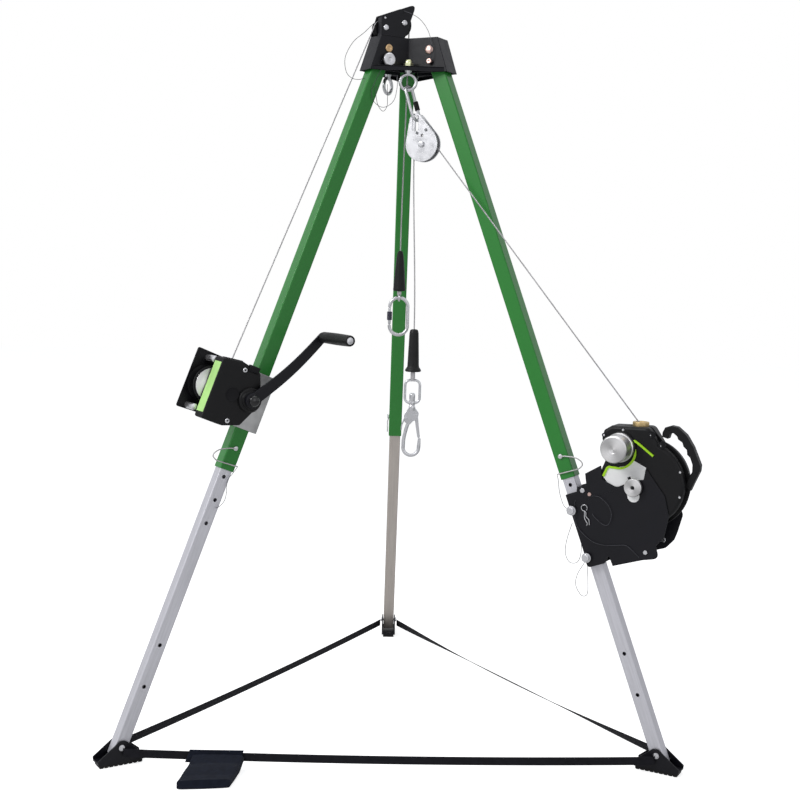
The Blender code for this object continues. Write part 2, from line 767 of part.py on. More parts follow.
def make_winch_frame(frame):
    """The rear plate with its two spacer rods."""
    back = WINCH_BACK
    outline = rounded([(-0.020, -1.295, 0.006), (0.2065, -1.303, 0.006),
                       (0.2065, -1.117, 0.006), (0.040, -1.117, 0.006), (-0.020, -1.140, 0.006)])
    rear = plate("winch_frame", outline, back - 0.004, back, frame, black_paint())
    rods = []
    for x, z in ((0.188, -1.136), (0.186, -1.290)):
        rods.append(revolve("rod", [(0.0, back - 0.003), (0.0075, back - 0.003),
                                    (0.0075, COVER_FACES[0] - GAP), (0.0, COVER_FACES[0] - GAP)],
                            side_axle(frame, x, z), None, 12))
    weld(rear, rods)
    axle = side_axle(frame, DRUM_PLACE[0], -DRUM_PLACE[1])
    return cut(rear, [drill(bore(SHAFT, 16), -0.05, 0.0, axle)])


def make_winch_cover(frame):
    """The moulded gear cover, with the round boss of the crank shaft."""
    hub = (CRANK_PLACE[0], -CRANK_PLACE[1])
    outline = rounded([(0.1880, -1.312, 0.006), (0.1960, -1.136, 0.006), (0.0950, -1.117, 0.010),
                       (0.0300, -1.126, 0.010)] + sharp(arc(hub, 0.042, 135, 235, 6))
                      + [(0.0340, -1.297, 0.008), (0.0880, -1.316, 0.020)])
    front = COVER_FACES[1]
    cover = plate("winch_cover", outline, COVER_FACES[0], front, frame, black_plastic(),
                  chamfer=0.0035)
    boss = revolve("boss", [(0.0, front - 0.002), (0.0375, front - 0.002), (0.0375, front + 0.008),
                            (0.0345, front + 0.011), (0.0300, front + 0.011), (0.0285, front + 0.017),
                            (0.0, front + 0.017)], side_axle(frame, *hub), None, 16)
    weld(cover, [boss])
    shaft = drill(bore(SHAFT, 16), front - 0.020, front + 0.03, side_axle(frame, *hub), 16)
    axle = side_axle(frame, DRUM_PLACE[0], -DRUM_PLACE[1])
    journal = drill(bore(SHAFT, 16), COVER_FACES[0] - 0.01, COVER_FACES[0] + 0.010, axle)
    return cut(cover, [shaft, journal])


def make_drum(frame):
    """Core, two flanges and the journals at both ends."""
    axle = side_axle(frame, DRUM_PLACE[0], -DRUM_PLACE[1])
    low, high = DRUM_SPAN
    profile = [(0.0, WINCH_BACK - 0.0035), (0.0080, WINCH_BACK - 0.0035), (0.0080, low - 0.0035),
               (DRUM_FLANGE, low - 0.0035), (DRUM_FLANGE, low), (DRUM_CORE, low),
               (DRUM_CORE, high), (DRUM_FLANGE, high), (DRUM_FLANGE, high + 0.0035),
               (0.0505, high + 0.0035), (0.0495, high + 0.0050), (0.0150, high + 0.0050),
               (0.0150, high + 0.0080), (0.0080, high + 0.0080),
               (0.0080, COVER_FACES[0] + 0.008), (0.0, COVER_FACES[0] + 0.008)]
    return revolve("winch_drum", profile, axle, brushed_steel(), 20)


def rope_line():
    """Where rope leaves the drum and where it meets the outer sheave, in the leg's plane."""
    leg = fitted_frame("left")
    head = head_frame(LEGS["left"])
    drum = Vector((DRUM_PLACE[0], -DRUM_PLACE[1]))
    point = leg.inverted() @ (head @ Vector((SHEAVE_OUT[0], 0.0, SHEAVE_OUT[1])))
    sheave = Vector((point.x, point.z))
    between = sheave - drum
    near = DRUM_CORE + GAP + ROPE / 2
    far = SHEAVE_OUT[2]
    # A crossing tangent: the drum's inner side to the sheave's outer side
    tilt = math.asin((near + far) / between.length)
    along = between.normalized()
    side = Vector((-along.y, along.x))
    normal = side * math.cos(tilt) + along * math.sin(tilt)
    return drum + normal * near, sheave - normal * far, drum, sheave


def make_drum_rope(frame):
    """The outer layer of rope on the drum: one unbroken tube."""
    start, goal, drum, _ = rope_line()
    turn_radius = (start - drum).length
    low, high = DRUM_SPAN
    margin = ROPE / 2 + 0.0008
    pitch = (high - low - 2 * margin) / WINDINGS
    first = math.atan2(start.y - drum.y, start.x - drum.x)
    steps = WINDINGS * 24
    points = []
    for step in range(steps + 1):
        angle = first + 2 * math.pi * (steps - step) / 24
        across = low + margin + pitch * step / 24
        points.append(frame @ Vector((drum.x + turn_radius * math.cos(angle), across,
                                      drum.y + turn_radius * math.sin(angle))))
    tail = (goal - start).normalized()
    # The tail clears the layer before the free rope takes over
    for reach in (0.010, 0.020):
        point = start + tail * reach
        points.append(frame @ Vector((point.x, high - margin, point.y)))
    gap = min((a - b).length for i, a in enumerate(points[:25]) for b in points[i + 20:i + 29])
    print(f"FORM winch_drum_rope least gap to itself {gap - ROPE:.5f}")
    made = cord("winch_drum_rope", points, ROPE, rope_steel(), 1)
    return made, points[-1]


def make_crank(frame):
    """Hub, arm with a slight double bend, and the spindle for the grip."""
    hub = (CRANK_PLACE[0], -CRANK_PLACE[1])
    end = (CRANK_END[0], -CRANK_END[1])
    face = COVER_FACES[1] + 0.017 + GAP
    origin = side_axle(frame, *hub)
    shaft = revolve("winch_crank", [(0.0, COVER_FACES[1] - 0.018), (SHAFT, COVER_FACES[1] - 0.018),
                                    (SHAFT, face), (0.0230, face), (0.0230, face + 0.010),
                                    (0.0190, face + 0.012), (0.0190, face + 0.018),
                                    (0.0140, face + 0.024), (0.0, face + 0.0285)],
                    origin, black_paint(), 16)
    line = Vector(end) - Vector(hub)
    across = Vector((-line.y, line.x)).normalized()
    edge_a, edge_b = [], []
    for step in range(9):
        share = step / 8
        bend = 0.010 * math.sin(share * math.pi)
        middle = Vector(hub) + line * share + across * bend
        width = 0.0185 - 0.0035 * share
        edge_a.append(tuple(middle + across * width))
        edge_b.append(tuple(middle - across * width))
    tip = Vector(end)
    angle = math.degrees(math.atan2(line.y, line.x))
    cap = arc(tip, 0.0150, angle + 60, angle - 60, 4)
    arm = plate("arm", edge_a + cap + edge_b[::-1], face + 0.001, face + 0.009, frame)
    spindle = revolve("spindle", [(0.0, face + 0.002), (SPINDLE, face + 0.002),
                                  (SPINDLE, face + 0.1665), (0.0110, face + 0.1665),
                                  (0.0110, face + 0.170), (0.0, face + 0.173)],
                      side_axle(frame, *end), None, 12)
    return weld(shaft, [arm, spindle])


def make_grip(frame):
    end = (CRANK_END[0], -CRANK_END[1])
    low = COVER_FACES[1] + 0.017 + GAP + 0.009 + GAP
    high = low + 0.1570
    hole = bore(SPINDLE, 16)
    profile = [(hole, low), (0.0130, low), (0.0155, low + 0.004), (0.0165, low + 0.070),
               (0.0155, high - 0.006), (0.0140, high), (hole, high)]
    return revolve("winch_grip", profile, side_axle(frame, *end), grip_rubber(), 16)


# The retrieval unit on the right leg

def make_unit_bracket(frame):
    """Two plates and a square sleeve round the lower leg, with the pins that lock it."""
    inner, outer = UNIT_HALF + GAP, UNIT_HALF + GAP + 0.004
    sleeve_top, sleeve_low = -1.470, -1.716
    front = rounded([(-0.027, sleeve_low, 0.010), (0.0600, sleeve_low + 0.004, 0.0),
                     (0.0615, -1.694, 0.0), (0.0700, -1.728, 0.0), (0.1550, -1.733, 0.006),
                     (0.1900, -1.732, 0.016), (0.1980, -1.700, 0.016),
                     (0.2900, -1.630, 0.030), (0.2950, -1.560, 0.010), (0.2600, -1.474, 0.004),
                     (0.2420, -1.506, 0.006), (0.2100, -1.500, 0.010), (0.1518, -1.505, 0.024),
                     (0.1150, -1.470, 0.010), (0.1260, -1.428, 0.003), (0.0680, -1.438, 0.0),
                     (0.0720, sleeve_top, 0.0), (0.0300, -1.467, 0.006),
                     (-0.027, sleeve_top - 0.016, 0.014)])
    rear = rounded([(-0.027, sleeve_low, 0.010), (0.1700, -1.733, 0.010), (0.2300, -1.722, 0.018),
                    (0.2520, -1.690, 0.018), (0.3100, -1.633, 0.020), (0.2950, -1.560, 0.010),
                    (0.0720, sleeve_top, 0.0), (-0.027, sleeve_top, 0.014)])
    bracket = plate("unit_bracket", front, -outer, -inner, frame, black_paint())
    back = plate("back", rear, inner, outer, frame)
    sleeve = box("sleeve", (-0.0265, -inner - 0.001, sleeve_low + 0.001),
                 (0.0300, inner + 0.001, sleeve_top - 0.014), frame)
    weld(bracket, [back, sleeve])
    half = LOWER_TUBE / 2 + GAP
    bore = box("bore", (-half, -half, -1.80), (half, half, -1.40), frame)
    cut(bracket, [bore])
    pins = []
    leg = leg_frame(LEGS["right"])
    for place in (HOLES[1], HOLES[1] + 2 * HOLE_PITCH):
        pins.append(revolve("pin", [(0.0, outer - 0.002), (0.0100, outer - 0.002),
                                    (0.0100, outer + 0.008), (0.0150, outer + 0.009),
                                    (0.0150, outer + 0.019), (0.0130, outer + 0.022),
                                    (0.0, outer + 0.022)],
                            side_axle(leg, -0.002, -place, -1.0), None, 8))
    for x, z in ((0.1800, -1.712), (0.0445, -1.488), (0.0634, -1.501)):
        pins.append(revolve("bolt", [(0.0, outer - 0.002), (0.0065, outer - 0.002),
                                     (0.0065, outer + 0.004), (0.0, outer + 0.005)],
                            side_axle(frame, x, z, -1.0), None, 6))
    weld(bracket, pins)
    slot = rounded([(LEVER_PLACE[0] - 0.0080, -LEVER_PLACE[1] - 0.030, 0.008),
                    (LEVER_PLACE[0] + 0.0120, -LEVER_PLACE[1] - 0.030, 0.008),
                    (LEVER_PLACE[0] + 0.0120, -LEVER_PLACE[1] + 0.008, 0.004),
                    (LEVER_PLACE[0] - 0.0080, -LEVER_PLACE[1] + 0.008, 0.004)])
    return cut(bracket, [plate("slot", slot, -0.06, -0.03, frame)])


def make_unit_housing(frame):
    """The moulded drum housing with its rope nose and carry handle."""
    outline = rounded([(0.1430, -1.405, 0.016), (0.1430, -1.347, 0.016), (0.1640, -1.324, 0.012),
                       (0.1850, -1.322, 0.0), (0.2400, -1.3385, 0.0), (0.3020, -1.3570, 0.020)]
                      + sharp(arc((0.2320, -1.5150), 0.1400, 48, -112, 12))
                      + [(0.1150, -1.655, 0.020), (0.0900, -1.600, 0.030), (0.0900, -1.470, 0.030)])
    housing = plate("unit_housing", outline, -UNIT_HALF, UNIT_HALF, frame, black_plastic(),
                    chamfer=0.009)
    bar = rounded([(0.3180, -1.4000, 0.004), (0.3400, -1.3780, 0.010), (0.3640, -1.3740, 0.012),
                   (0.3860, -1.4040, 0.020), (0.4050, -1.5060, 0.014), (0.3960, -1.5380, 0.020),
                   (0.3520, -1.5800, 0.010), (0.3560, -1.5450, 0.006), (0.3780, -1.5250, 0.010),
                   (0.3840, -1.5020, 0.008), (0.3760, -1.4720, 0.003), (0.3760, -1.4560, 0.003),
                   (0.3690, -1.4360, 0.003), (0.3680, -1.4220, 0.003), (0.3600, -1.4000, 0.006),
                   (0.3500, -1.3960, 0.006), (0.3360, -1.4180, 0.004)], 1)
    handle = plate("handle", bar, -0.0130, 0.0130, frame, chamfer=0.003)
    knob_seat = revolve("seat", [(0.0, UNIT_HALF - 0.002), (0.0480, UNIT_HALF - 0.002),
                                 (0.0480, UNIT_HALF + 0.004), (0.0465, UNIT_HALF + 0.006),
                                 (0.0, UNIT_HALF + 0.006)],
                        side_axle(frame, KNOB_PLACE[0], -KNOB_PLACE[1], -1.0), None, 24)
    lever_seat = revolve("seat", [(0.0, UNIT_HALF - 0.002), (0.0060, UNIT_HALF - 0.002),
                                  (0.0060, UNIT_HALF + 0.009), (0.0, UNIT_HALF + 0.009)],
                         side_axle(frame, LEVER_PLACE[0], -LEVER_PLACE[1], -1.0), None, 10)
    weld(housing, [handle, knob_seat, lever_seat])
    return cut(housing, [drill(COLLAR_RADIUS + GAP, COLLAR_SEAT - GAP, 0.060,
                               collar_frame(frame), 16)])


def make_unit_knob(frame):
    """The big turned knob of the retrieval drive."""
    seat = UNIT_HALF + 0.006 + GAP
    profile = [(0.0, seat), (0.0445, seat), (0.0445, seat + 0.012), (0.0425, seat + 0.014),
               (0.0425, seat + 0.050), (0.0400, seat + 0.053), (0.0360, seat + 0.0535),
               (0.0, seat + 0.0535)]
    return revolve("unit_knob", profile, side_axle(frame, KNOB_PLACE[0], -KNOB_PLACE[1], -1.0),
                   brushed_steel(), 20)


def make_unit_lever(frame):
    """The small selector knob that is pulled to change from brake to retrieval."""
    seat = UNIT_HALF + 0.009 + GAP
    profile = [(0.0, seat), (0.0090, seat), (0.0090, seat + 0.004), (0.0275, seat + 0.004),
               (0.0275, seat + 0.013), (0.0260, seat + 0.0145), (0.0055, seat + 0.0145),
               (0.0, seat + 0.0105)]
    return revolve("unit_selector", profile,
                   side_axle(frame, LEVER_PLACE[0], -LEVER_PLACE[1], -1.0), brushed_steel(), 16)


def collar_frame(frame):
    """The rope guide points at the snatch block."""
    origin = frame @ Vector((COLLAR_PLACE[0], 0.0, -COLLAR_PLACE[1]))
    block = block_frame()
    goal = block @ Vector((BLOCK_AXLE + BLOCK_ROPE * 0.77, 0.0, BLOCK_HEIGHT + BLOCK_ROPE * 0.63))
    aim = (goal - origin).normalized()
    side = frame.to_3x3() @ Vector((0.0, 1.0, 0.0))
    side = (side - aim * side.dot(aim)).normalized()
    return axes_frame(origin, side.cross(aim), side, aim)


def make_unit_collar(frame):
    """The brass rope guide on the nose, with the hole that the rope runs through."""
    profile = [(0.0045, COLLAR_SEAT), (COLLAR_RADIUS, COLLAR_SEAT), (COLLAR_RADIUS, 0.019),
               (0.0240, COLLAR_TOP), (0.0080, COLLAR_TOP), (0.0045, 0.017)]
    return revolve("unit_collar", profile, collar_frame(frame), brass(), 16)


# What hangs from the front eye: a carabiner and a snatch block

def block_frame():
    """Origin under the front eye on the floor, +X towards the retrieval unit."""
    along = Vector((math.cos(BLOCK_DIRECTION), math.sin(BLOCK_DIRECTION), 0.0))
    up = Vector((0.0, 0.0, 1.0))
    return axes_frame(Vector((0.0, -EYE_REACH, 0.0)), along, up.cross(along), up)


BLOCK_EYE = (0.036, BLOCK_HEIGHT + 0.077)       # middle of the carabiner's lower bend


def oval(length, radius, turns=6):
    """Middle line of an oval link that hangs along -Z from the origin, in X and Z."""
    points = []
    for centre, start in ((-radius, 0.0), (-length + radius, math.pi)):
        for step in range(turns + 1):
            angle = start + math.pi * step / turns
            points.append((radius * math.cos(angle), 0.0, centre + radius * math.sin(angle)))
    return points


def make_block_carabiner():
    top_bar = PIVOT_HEIGHT + EYE_DROP - EYE_RADIUS
    top = Vector((0.0, -EYE_REACH, top_bar + EYE_BAR + 0.0050 + 0.0011))
    bottom = block_frame() @ Vector((BLOCK_EYE[0], 0.0, BLOCK_EYE[1]))
    down = (bottom - top).normalized()
    side = Vector((0.56, 0.83, 0.0))
    side = (side - down * side.dot(down)).normalized()
    frame = axes_frame(top, side, (-down).cross(side), -down)
    length = (bottom - top).length
    body = sweep("block_carabiner", oval(length, 0.0210), 0.0050, frame, bright_steel(), 8, True)
    sleeve = revolve("sleeve", [(0.0, -0.080), (0.0080, -0.080), (0.0085, -0.077),
                                (0.0085, -0.054), (0.0080, -0.051), (0.0, -0.051)],
                     shifted(frame, 0.0210, 0.0, 0.0), None, 8)
    return weld(body, [sleeve])


def block_outline():
    """Pear shape: the hull of a large circle at the axle and a small one at the eye."""
    axle = Vector((BLOCK_AXLE, BLOCK_HEIGHT))
    eye = Vector((BLOCK_EYE[0] + 0.002, BLOCK_EYE[1] - 0.002))
    large, small = 0.0560, 0.0230
    line = eye - axle
    tilt = math.degrees(math.acos((large - small) / line.length))
    aim = math.degrees(math.atan2(line.y, line.x))
    return (arc(axle, large, aim + tilt, aim - tilt + 360, 13)
            + arc(eye, small, aim - tilt, aim + tilt, 5))


def make_block_plate(name, low, high, extra):
    frame = block_frame()
    cheek = plate(name, block_outline(), low, high, frame, bright_steel(), chamfer=0.001)
    x, top = BLOCK_EYE[0] + 0.001, BLOCK_EYE[1] + 0.0150
    slot = rounded([(x - 0.0105, top - 0.050, 0.007), (x + 0.0105, top - 0.050, 0.007),
                    (x + 0.0105, top, 0.004), (x - 0.0105, top, 0.004)])
    tools = [plate("slot", slot, low - 0.01, high + 0.01, frame)]
    if extra:
        weld(cheek, extra)
    else:
        tools.append(drill(bore(BOLT, 12), -0.05, 0.05,
                           side_axle(frame, BLOCK_AXLE, BLOCK_HEIGHT), 12))
    return cut(cheek, tools)


def make_block():
    frame = block_frame()
    axle_frame = side_axle(frame, BLOCK_AXLE, BLOCK_HEIGHT)
    inner, outer = 0.0100, 0.0140
    axle = revolve("axle", [(0.0, -outer - GAP - 0.006), (0.0100, -outer - GAP - 0.005),
                            (0.0100, -outer - GAP), (BOLT, -outer - GAP), (BOLT, inner + 0.001),
                            (0.0110, inner + 0.001), (0.0110, outer + 0.003), (0.0, outer + 0.004)],
                   axle_frame, None, 12)
    make_block_plate("block_cheek_rear", inner, outer, [axle])
    make_block_plate("block_cheek_front", -outer, -inner, [])
    make_sheave("block_sheave", BLOCK_ROPE, axle_frame)


# The two ropes with what is on their ends

def make_winch_run(tail_end):
    """The taut rope beside the leg, from the drum up to the outer sheave."""
    _, goal, _, _ = rope_line()
    touch = fitted_frame("left") @ Vector((goal.x, 0.0, goal.y))
    along = (touch - tail_end).normalized()
    start, end = tail_end + along * GAP, touch - along * GAP
    points = [start.lerp(end, step / 12) for step in range(13)]
    print(f"CORD winch_rope_run length {(end - start).length:.4f} points {len(points)}")
    cord("winch_rope_run", points, ROPE, rope_steel())


def winch_rope_route():
    left = head_frame(LEGS["left"])
    _, goal, _, _ = rope_line()
    touch = fitted_frame("left") @ Vector((goal.x, 0.0, goal.y))
    points = []
    local = left.inverted() @ touch
    first = math.atan2(local.z - SHEAVE_OUT[1], local.x - SHEAVE_OUT[0])
    middle = Vector((SHEAVE_IN[0] - SHEAVE_OUT[0], SHEAVE_IN[1] - SHEAVE_OUT[1]))
    lean = math.asin((SHEAVE_IN[2] - SHEAVE_OUT[2]) / middle.length)
    leave = math.atan2(middle.y, middle.x) - math.pi / 2 - lean
    for place, begin, end, count in ((SHEAVE_OUT, first, leave, 6), (SHEAVE_IN, leave, math.pi, 8)):
        for step in range(count + 1):
            angle = begin + (end - begin) * step / count
            points.append(left @ Vector((place[0] + place[2] * math.cos(angle), 0.0,
                                         place[1] + place[2] * math.sin(angle))))
    return points


def make_winch_rope():
    """Over both sheaves and down the middle to the bumper."""
    points = winch_rope_route()
    drop = points[-1]
    low = Vector((CARABINER_X, 0.0, WINCH_ROPE_END))
    for index in range(1, 9):
        share = index / 8
        ease = share * share * (3 - 2 * share)
        points.append(Vector((drop.x + (low.x - drop.x) * ease, drop.y + (low.y - drop.y) * ease,
                              drop.z + (low.z - drop.z) * share)))
    length = sum((b - a).length for a, b in zip(points, points[1:]))
    print(f"CORD winch_rope length {length:.4f} points {len(points)}")
    return cord("winch_rope", points, ROPE, rope_steel())


WINCH_ROPE_END = PIVOT_HEIGHT - 0.648
BUMPER_LOW = WINCH_ROPE_END - 0.1326
THIMBLE_BAR = 0.0035


def make_winch_bumper():
    frame = axes_frame(Vector((CARABINER_X, 0.0, 0.0)), Vector((1, 0, 0)), Vector((0, 1, 0)),
                       Vector((0, 0, 1)))
    top, low = WINCH_ROPE_END - GAP, BUMPER_LOW
    return revolve("winch_bumper", [(0.0, low), (0.0195, low), (0.0210, low + 0.004),
                                    (0.0200, low + 0.012), (0.0165, low + 0.060),
                                    (0.0120, low + 0.110), (0.0085, top - 0.003), (0.0060, top),
                                    (0.0, top)], frame, grip_rubber(), 14)


def make_winch_thimble():
    """A pressed ferrule and the eye that the carabiner hangs in."""
    frame = axes_frame(Vector((CARABINER_X, 0.0, BUMPER_LOW - GAP)), Vector((1, 0, 0)),
                       Vector((0, 1, 0)), Vector((0, 0, 1)))
    ferrule = revolve("winch_thimble", [(0.0, -0.014), (0.0060, -0.014), (0.0070, -0.011),
                                        (0.0070, 0.0), (0.0, 0.0)], frame, bright_steel(), 8)
    loop = [(0.0, 0.0095 * math.sin(2 * math.pi * k / 12),
             -0.0215 + 0.0095 * math.cos(2 * math.pi * k / 12)) for k in range(12)]
    eye = sweep("eye", loop, THIMBLE_BAR, frame, None, 6, True)
    return weld(ferrule, [eye])


CARABINER_BAR = 0.0055
CARABINER_LENGTH = 0.1235
CARABINER_WIDTH = 0.0300          # half the width between the middles of the bars
GATE_TOP, GATE_LOW = -CARABINER_WIDTH - 0.0030, 0.0320 - CARABINER_LENGTH
GATE_BAR = 0.0048
GATE_PIVOT_HEIGHT = GATE_LOW + GATE_BAR + GAP


def carabiner_frame():
    """Origin at the middle of the upper bend, +X to the right, in the plane that faces the front."""
    eye_bottom = BUMPER_LOW - GAP - 0.0215 - 0.0095
    top = eye_bottom + THIMBLE_BAR + CARABINER_BAR + 0.0004
    return axes_frame(Vector((CARABINER_X, 0.0, top)), Vector((1, 0, 0)), Vector((0, 1, 0)),
                      Vector((0, 0, 1)))


def make_carabiner():
    """An oval carabiner, open on the left where its gate sits."""
    frame = carabiner_frame()
    radius, length = CARABINER_WIDTH, CARABINER_LENGTH
    points = [(-radius, 0.0, GATE_LOW)]
    for step in range(9):
        angle = math.pi + math.pi * step / 8
        points.append((radius * math.cos(angle), 0.0, -length + radius + radius * math.sin(angle)))
    for step in range(9):
        angle = math.pi * step / 8
        points.append((radius * math.cos(angle), 0.0, -radius + radius * math.sin(angle)))
    points.append((-radius, 0.0, GATE_TOP))
    return sweep("carabiner", points, CARABINER_BAR, frame, bright_steel(), 8)


def make_carabiner_gate():
    """The gate with its screw sleeve. It opens inwards on the pin at its lower end."""
    frame = shifted(carabiner_frame(), -CARABINER_WIDTH, 0.0, GATE_PIVOT_HEIGHT)
    span = GATE_TOP - GATE_PIVOT_HEIGHT
    profile = [(0.0, -GATE_BAR), (GATE_BAR * 0.6, -GATE_BAR * 0.8), (GATE_BAR, 0.0), (0.0048, 0.011),
               (0.0085, 0.012), (0.0085, 0.039), (0.0048, 0.040), (0.0048, span - 0.003),
               (0.0035, span - 0.0006), (0.0, span - 0.0005)]
    return revolve("carabiner_gate", profile, frame, bright_steel(), 8)


# The recovery rope's end: bumper, swivel link and snap hook

RECOVERY_Y = -0.097
RECOVERY_END = PIVOT_HEIGHT - 0.9004
RECOVERY_DATUM = 1.3046           # rope's end that the hook's own heights are measured from
LINK_TOP = 1.1380
LINK_LOW = 1.0640
HOOK_LOW = 0.8863
STUD = 0.0050


def recovery_frame(height):
    """Level with the world, moved up or down with the end of the rope."""
    origin = Vector((RECOVERY_X, RECOVERY_Y, RECOVERY_END - RECOVERY_DATUM + height))
    return axes_frame(origin, Vector((1, 0, 0)), Vector((0, 1, 0)), Vector((0, 0, 1)))


def make_recovery_bumper():
    low = 1.1660
    top = RECOVERY_DATUM - GAP
    return revolve("recovery_bumper", [(0.0, low), (0.0250, low), (0.0265, low + 0.003),
                                       (0.0250, low + 0.008), (0.0190, low + 0.016),
                                       (0.0175, low + 0.060), (0.0150, top - 0.012),
                                       (0.0125, top - 0.002), (0.0060, top), (0.0, top)],
                   recovery_frame(0.0), grip_rubber(), 16)


def make_swivel_link():
    """Ferrule, stirrup and the bored boss that the hook's stud turns in."""
    frame = recovery_frame(0.0)
    half, bar, top, low = 0.0240, 0.0042, LINK_TOP, LINK_LOW
    corner = 0.016
    points = []
    for centre_x, centre_z, start in ((half - corner, top - corner, 0.0),
                                      (-half + corner, top - corner, 90.0),
                                      (-half + corner, low + corner, 180.0),
                                      (half - corner, low + corner, 270.0)):
        for step in range(4):
            angle = math.radians(start + 90.0 * step / 3)
            points.append((centre_x + corner * math.cos(angle), 0.0,
                           centre_z + corner * math.sin(angle)))
    link = sweep("swivel_link", points, bar, frame, bright_steel(), 8, True)
    ferrule = revolve("ferrule", [(0.0, top), (0.0070, top), (0.0075, top + 0.006),
                                  (0.0075, 1.1657), (0.0, 1.1657)], frame, None, 8)
    boss = revolve("boss", [(0.0, low - 0.006), (0.0105, low - 0.006), (0.0105, low + 0.006),
                            (0.0, low + 0.006)], frame, None, 12)
    weld(link, [ferrule, boss])
    return cut(link, [drill(bore(STUD, 12), low - 0.02, low + 0.02, frame, 12)])


HOOK_BAR = 0.0060
GATE_PIVOT = (0.0150, 1.0250)
LEVER_PIVOT = (-0.0185, 1.0150)
HOOK_CHEEK = 0.0065
HOOK_SLOT = 0.0032
HOOK_PIN = 0.0030


def hook_line():
    """Middle line of the hook's bar: down the back, round and up to the nose."""
    points = [(-0.002, 1.020), (-0.011, 0.998), (-0.0185, 0.972), (-0.0240, 0.945)]
    points += arc((0.0, HOOK_LOW + HOOK_BAR + 0.0253), 0.0253, 168, 360, 7)
    return points + [(0.0262, 0.9350), (0.0268, 0.9482)]


def hook_pin(frame, place):
    flat = HOOK_CHEEK + 0.0010
    return revolve("pin", [(0.0, -flat), (0.0045, -flat), (0.0045, 0.001 - HOOK_CHEEK),
                           (HOOK_PIN, 0.001 - HOOK_CHEEK), (HOOK_PIN, HOOK_CHEEK - 0.001),
                           (0.0045, HOOK_CHEEK - 0.001), (0.0045, flat), (0.0, flat)],
                   side_axle(frame, *place), None, 8)


def make_swivel_hook():
    """Stud, forked shoulder and the hooked bar, forged in one, with two pins."""
    frame = recovery_frame(0.0)
    over = LINK_LOW + 0.006 + GAP
    under = LINK_LOW - 0.006 - GAP
    stud = revolve("swivel_hook", [(0.0, 1.030), (0.0110, 1.036), (0.0110, under - 0.008),
                                   (0.0090, under), (STUD, under), (STUD, over),
                                   (0.0095, over), (0.0095, over + 0.022), (0.0070, over + 0.026),
                                   (0.0, over + 0.026)], frame, bright_steel(), 12)
    line = hook_line()
    radii = [HOOK_BAR] * (len(line) - 2) + [0.0050, 0.0045]
    bar = sweep("bar", [(x, 0.0, z) for x, z in line], radii, frame, None, 8)
    shoulder = plate("shoulder", rounded([(-0.0105, 1.048, 0.004), (0.0105, 1.048, 0.004),
                                          (0.0225, 1.032, 0.008), (0.0205, 1.011, 0.006),
                                          (0.0040, 1.004, 0.006), (-0.0060, 0.992, 0.004),
                                          (-0.0235, 1.001, 0.006), (-0.0250, 1.022, 0.008)]),
                     -HOOK_CHEEK, HOOK_CHEEK, frame)
    weld(stud, [bar, shoulder])
    cut(stud, [box("slot", (0.0015, -HOOK_SLOT, 0.990), (0.0400, HOOK_SLOT, 1.0315), frame),
               box("slot", (-0.0400, -HOOK_SLOT, 0.985), (-0.0125, HOOK_SLOT, 1.0215), frame)])
    return weld(stud, [hook_pin(frame, GATE_PIVOT), hook_pin(frame, LEVER_PIVOT)])


def hook_swing(name, place, outline):
    """A flat gate or lever on one of the hook's pins."""
    frame = shifted(recovery_frame(0.0), place[0], 0.0, place[1])
    thin = HOOK_SLOT - 0.0003
    swing = plate(name, outline, -thin, thin, frame, bright_steel(), chamfer=0.0005)
    return cut(swing, [drill(bore(HOOK_PIN, 8), -0.01, 0.01, side_axle(frame, 0.0, 0.0), 8)])


def make_hook_gate():
    """The snap gate from its pin down to the nose."""
    return hook_swing("hook_gate", GATE_PIVOT, arc((0.0, 0.0), 0.0055, 0, 180, 6)
                      + [(-0.0035, -0.022), (0.0045, -0.071), (0.0065, -0.0755),
                         (0.0125, -0.0755), (0.0138, -0.070), (0.0075, -0.022)])


def make_hook_lever():
    """The safety lever at the back, which is squeezed before the gate opens."""
    return hook_swing("hook_lever", LEVER_PIVOT, arc((0.0, 0.0), 0.0050, -20, 160, 6)
                      + [(-0.0120, -0.014), (-0.0158, -0.030), (-0.0160, -0.040),
                         (-0.0138, -0.043), (-0.0118, -0.038), (-0.0112, -0.026),
                         (-0.0050, -0.010)])


def recovery_rope_route():
    """Up from the hook, round the block's sheave and down to the retrieval unit."""
    block = block_frame()
    guide = collar_frame(fitted_frame("right"))
    end = guide @ Vector((0.0, 0.0, COLLAR_TOP + GAP + TAIL))
    local_end = block.inverted() @ end
    low = Vector((RECOVERY_X, RECOVERY_Y, RECOVERY_END))
    axle = Vector((BLOCK_AXLE, BLOCK_HEIGHT))
    left_touch = block @ Vector((BLOCK_AXLE - BLOCK_ROPE, 0.0, BLOCK_HEIGHT))
    points = []
    for step in range(9):
        share = step / 9
        bend = share * share * (3 - 2 * share)
        points.append(Vector((low.x + (left_touch.x - low.x) * bend,
                              low.y + (left_touch.y - low.y) * bend,
                              low.z + (left_touch.z - low.z) * share)))
    line = Vector((local_end.x, local_end.z)) - axle
    aim = math.atan2(line.y, line.x) + math.acos(BLOCK_ROPE / line.length)
    for step in range(9):
        angle = math.pi + (aim - math.pi) * step / 8
        points.append(block @ Vector((BLOCK_AXLE + BLOCK_ROPE * math.cos(angle), 0.0,
                                      BLOCK_HEIGHT + BLOCK_ROPE * math.sin(angle))))
    start = points[-1]
    for step in range(1, 9):
        points.append(start.lerp(end, step / 8))
    return points


def make_recovery_tail():
    """The end of the rope that goes into the retrieval unit."""
    guide = collar_frame(fitted_frame("right"))
    start, end = COLLAR_TOP + GAP, COLLAR_TOP + TAIL - 0.0003
    points = [guide @ Vector((0.0, 0.0, start + (end - start) * step / 4)) for step in range(5)]
    cord("recovery_rope_tail", points, ROPE, rope_steel())


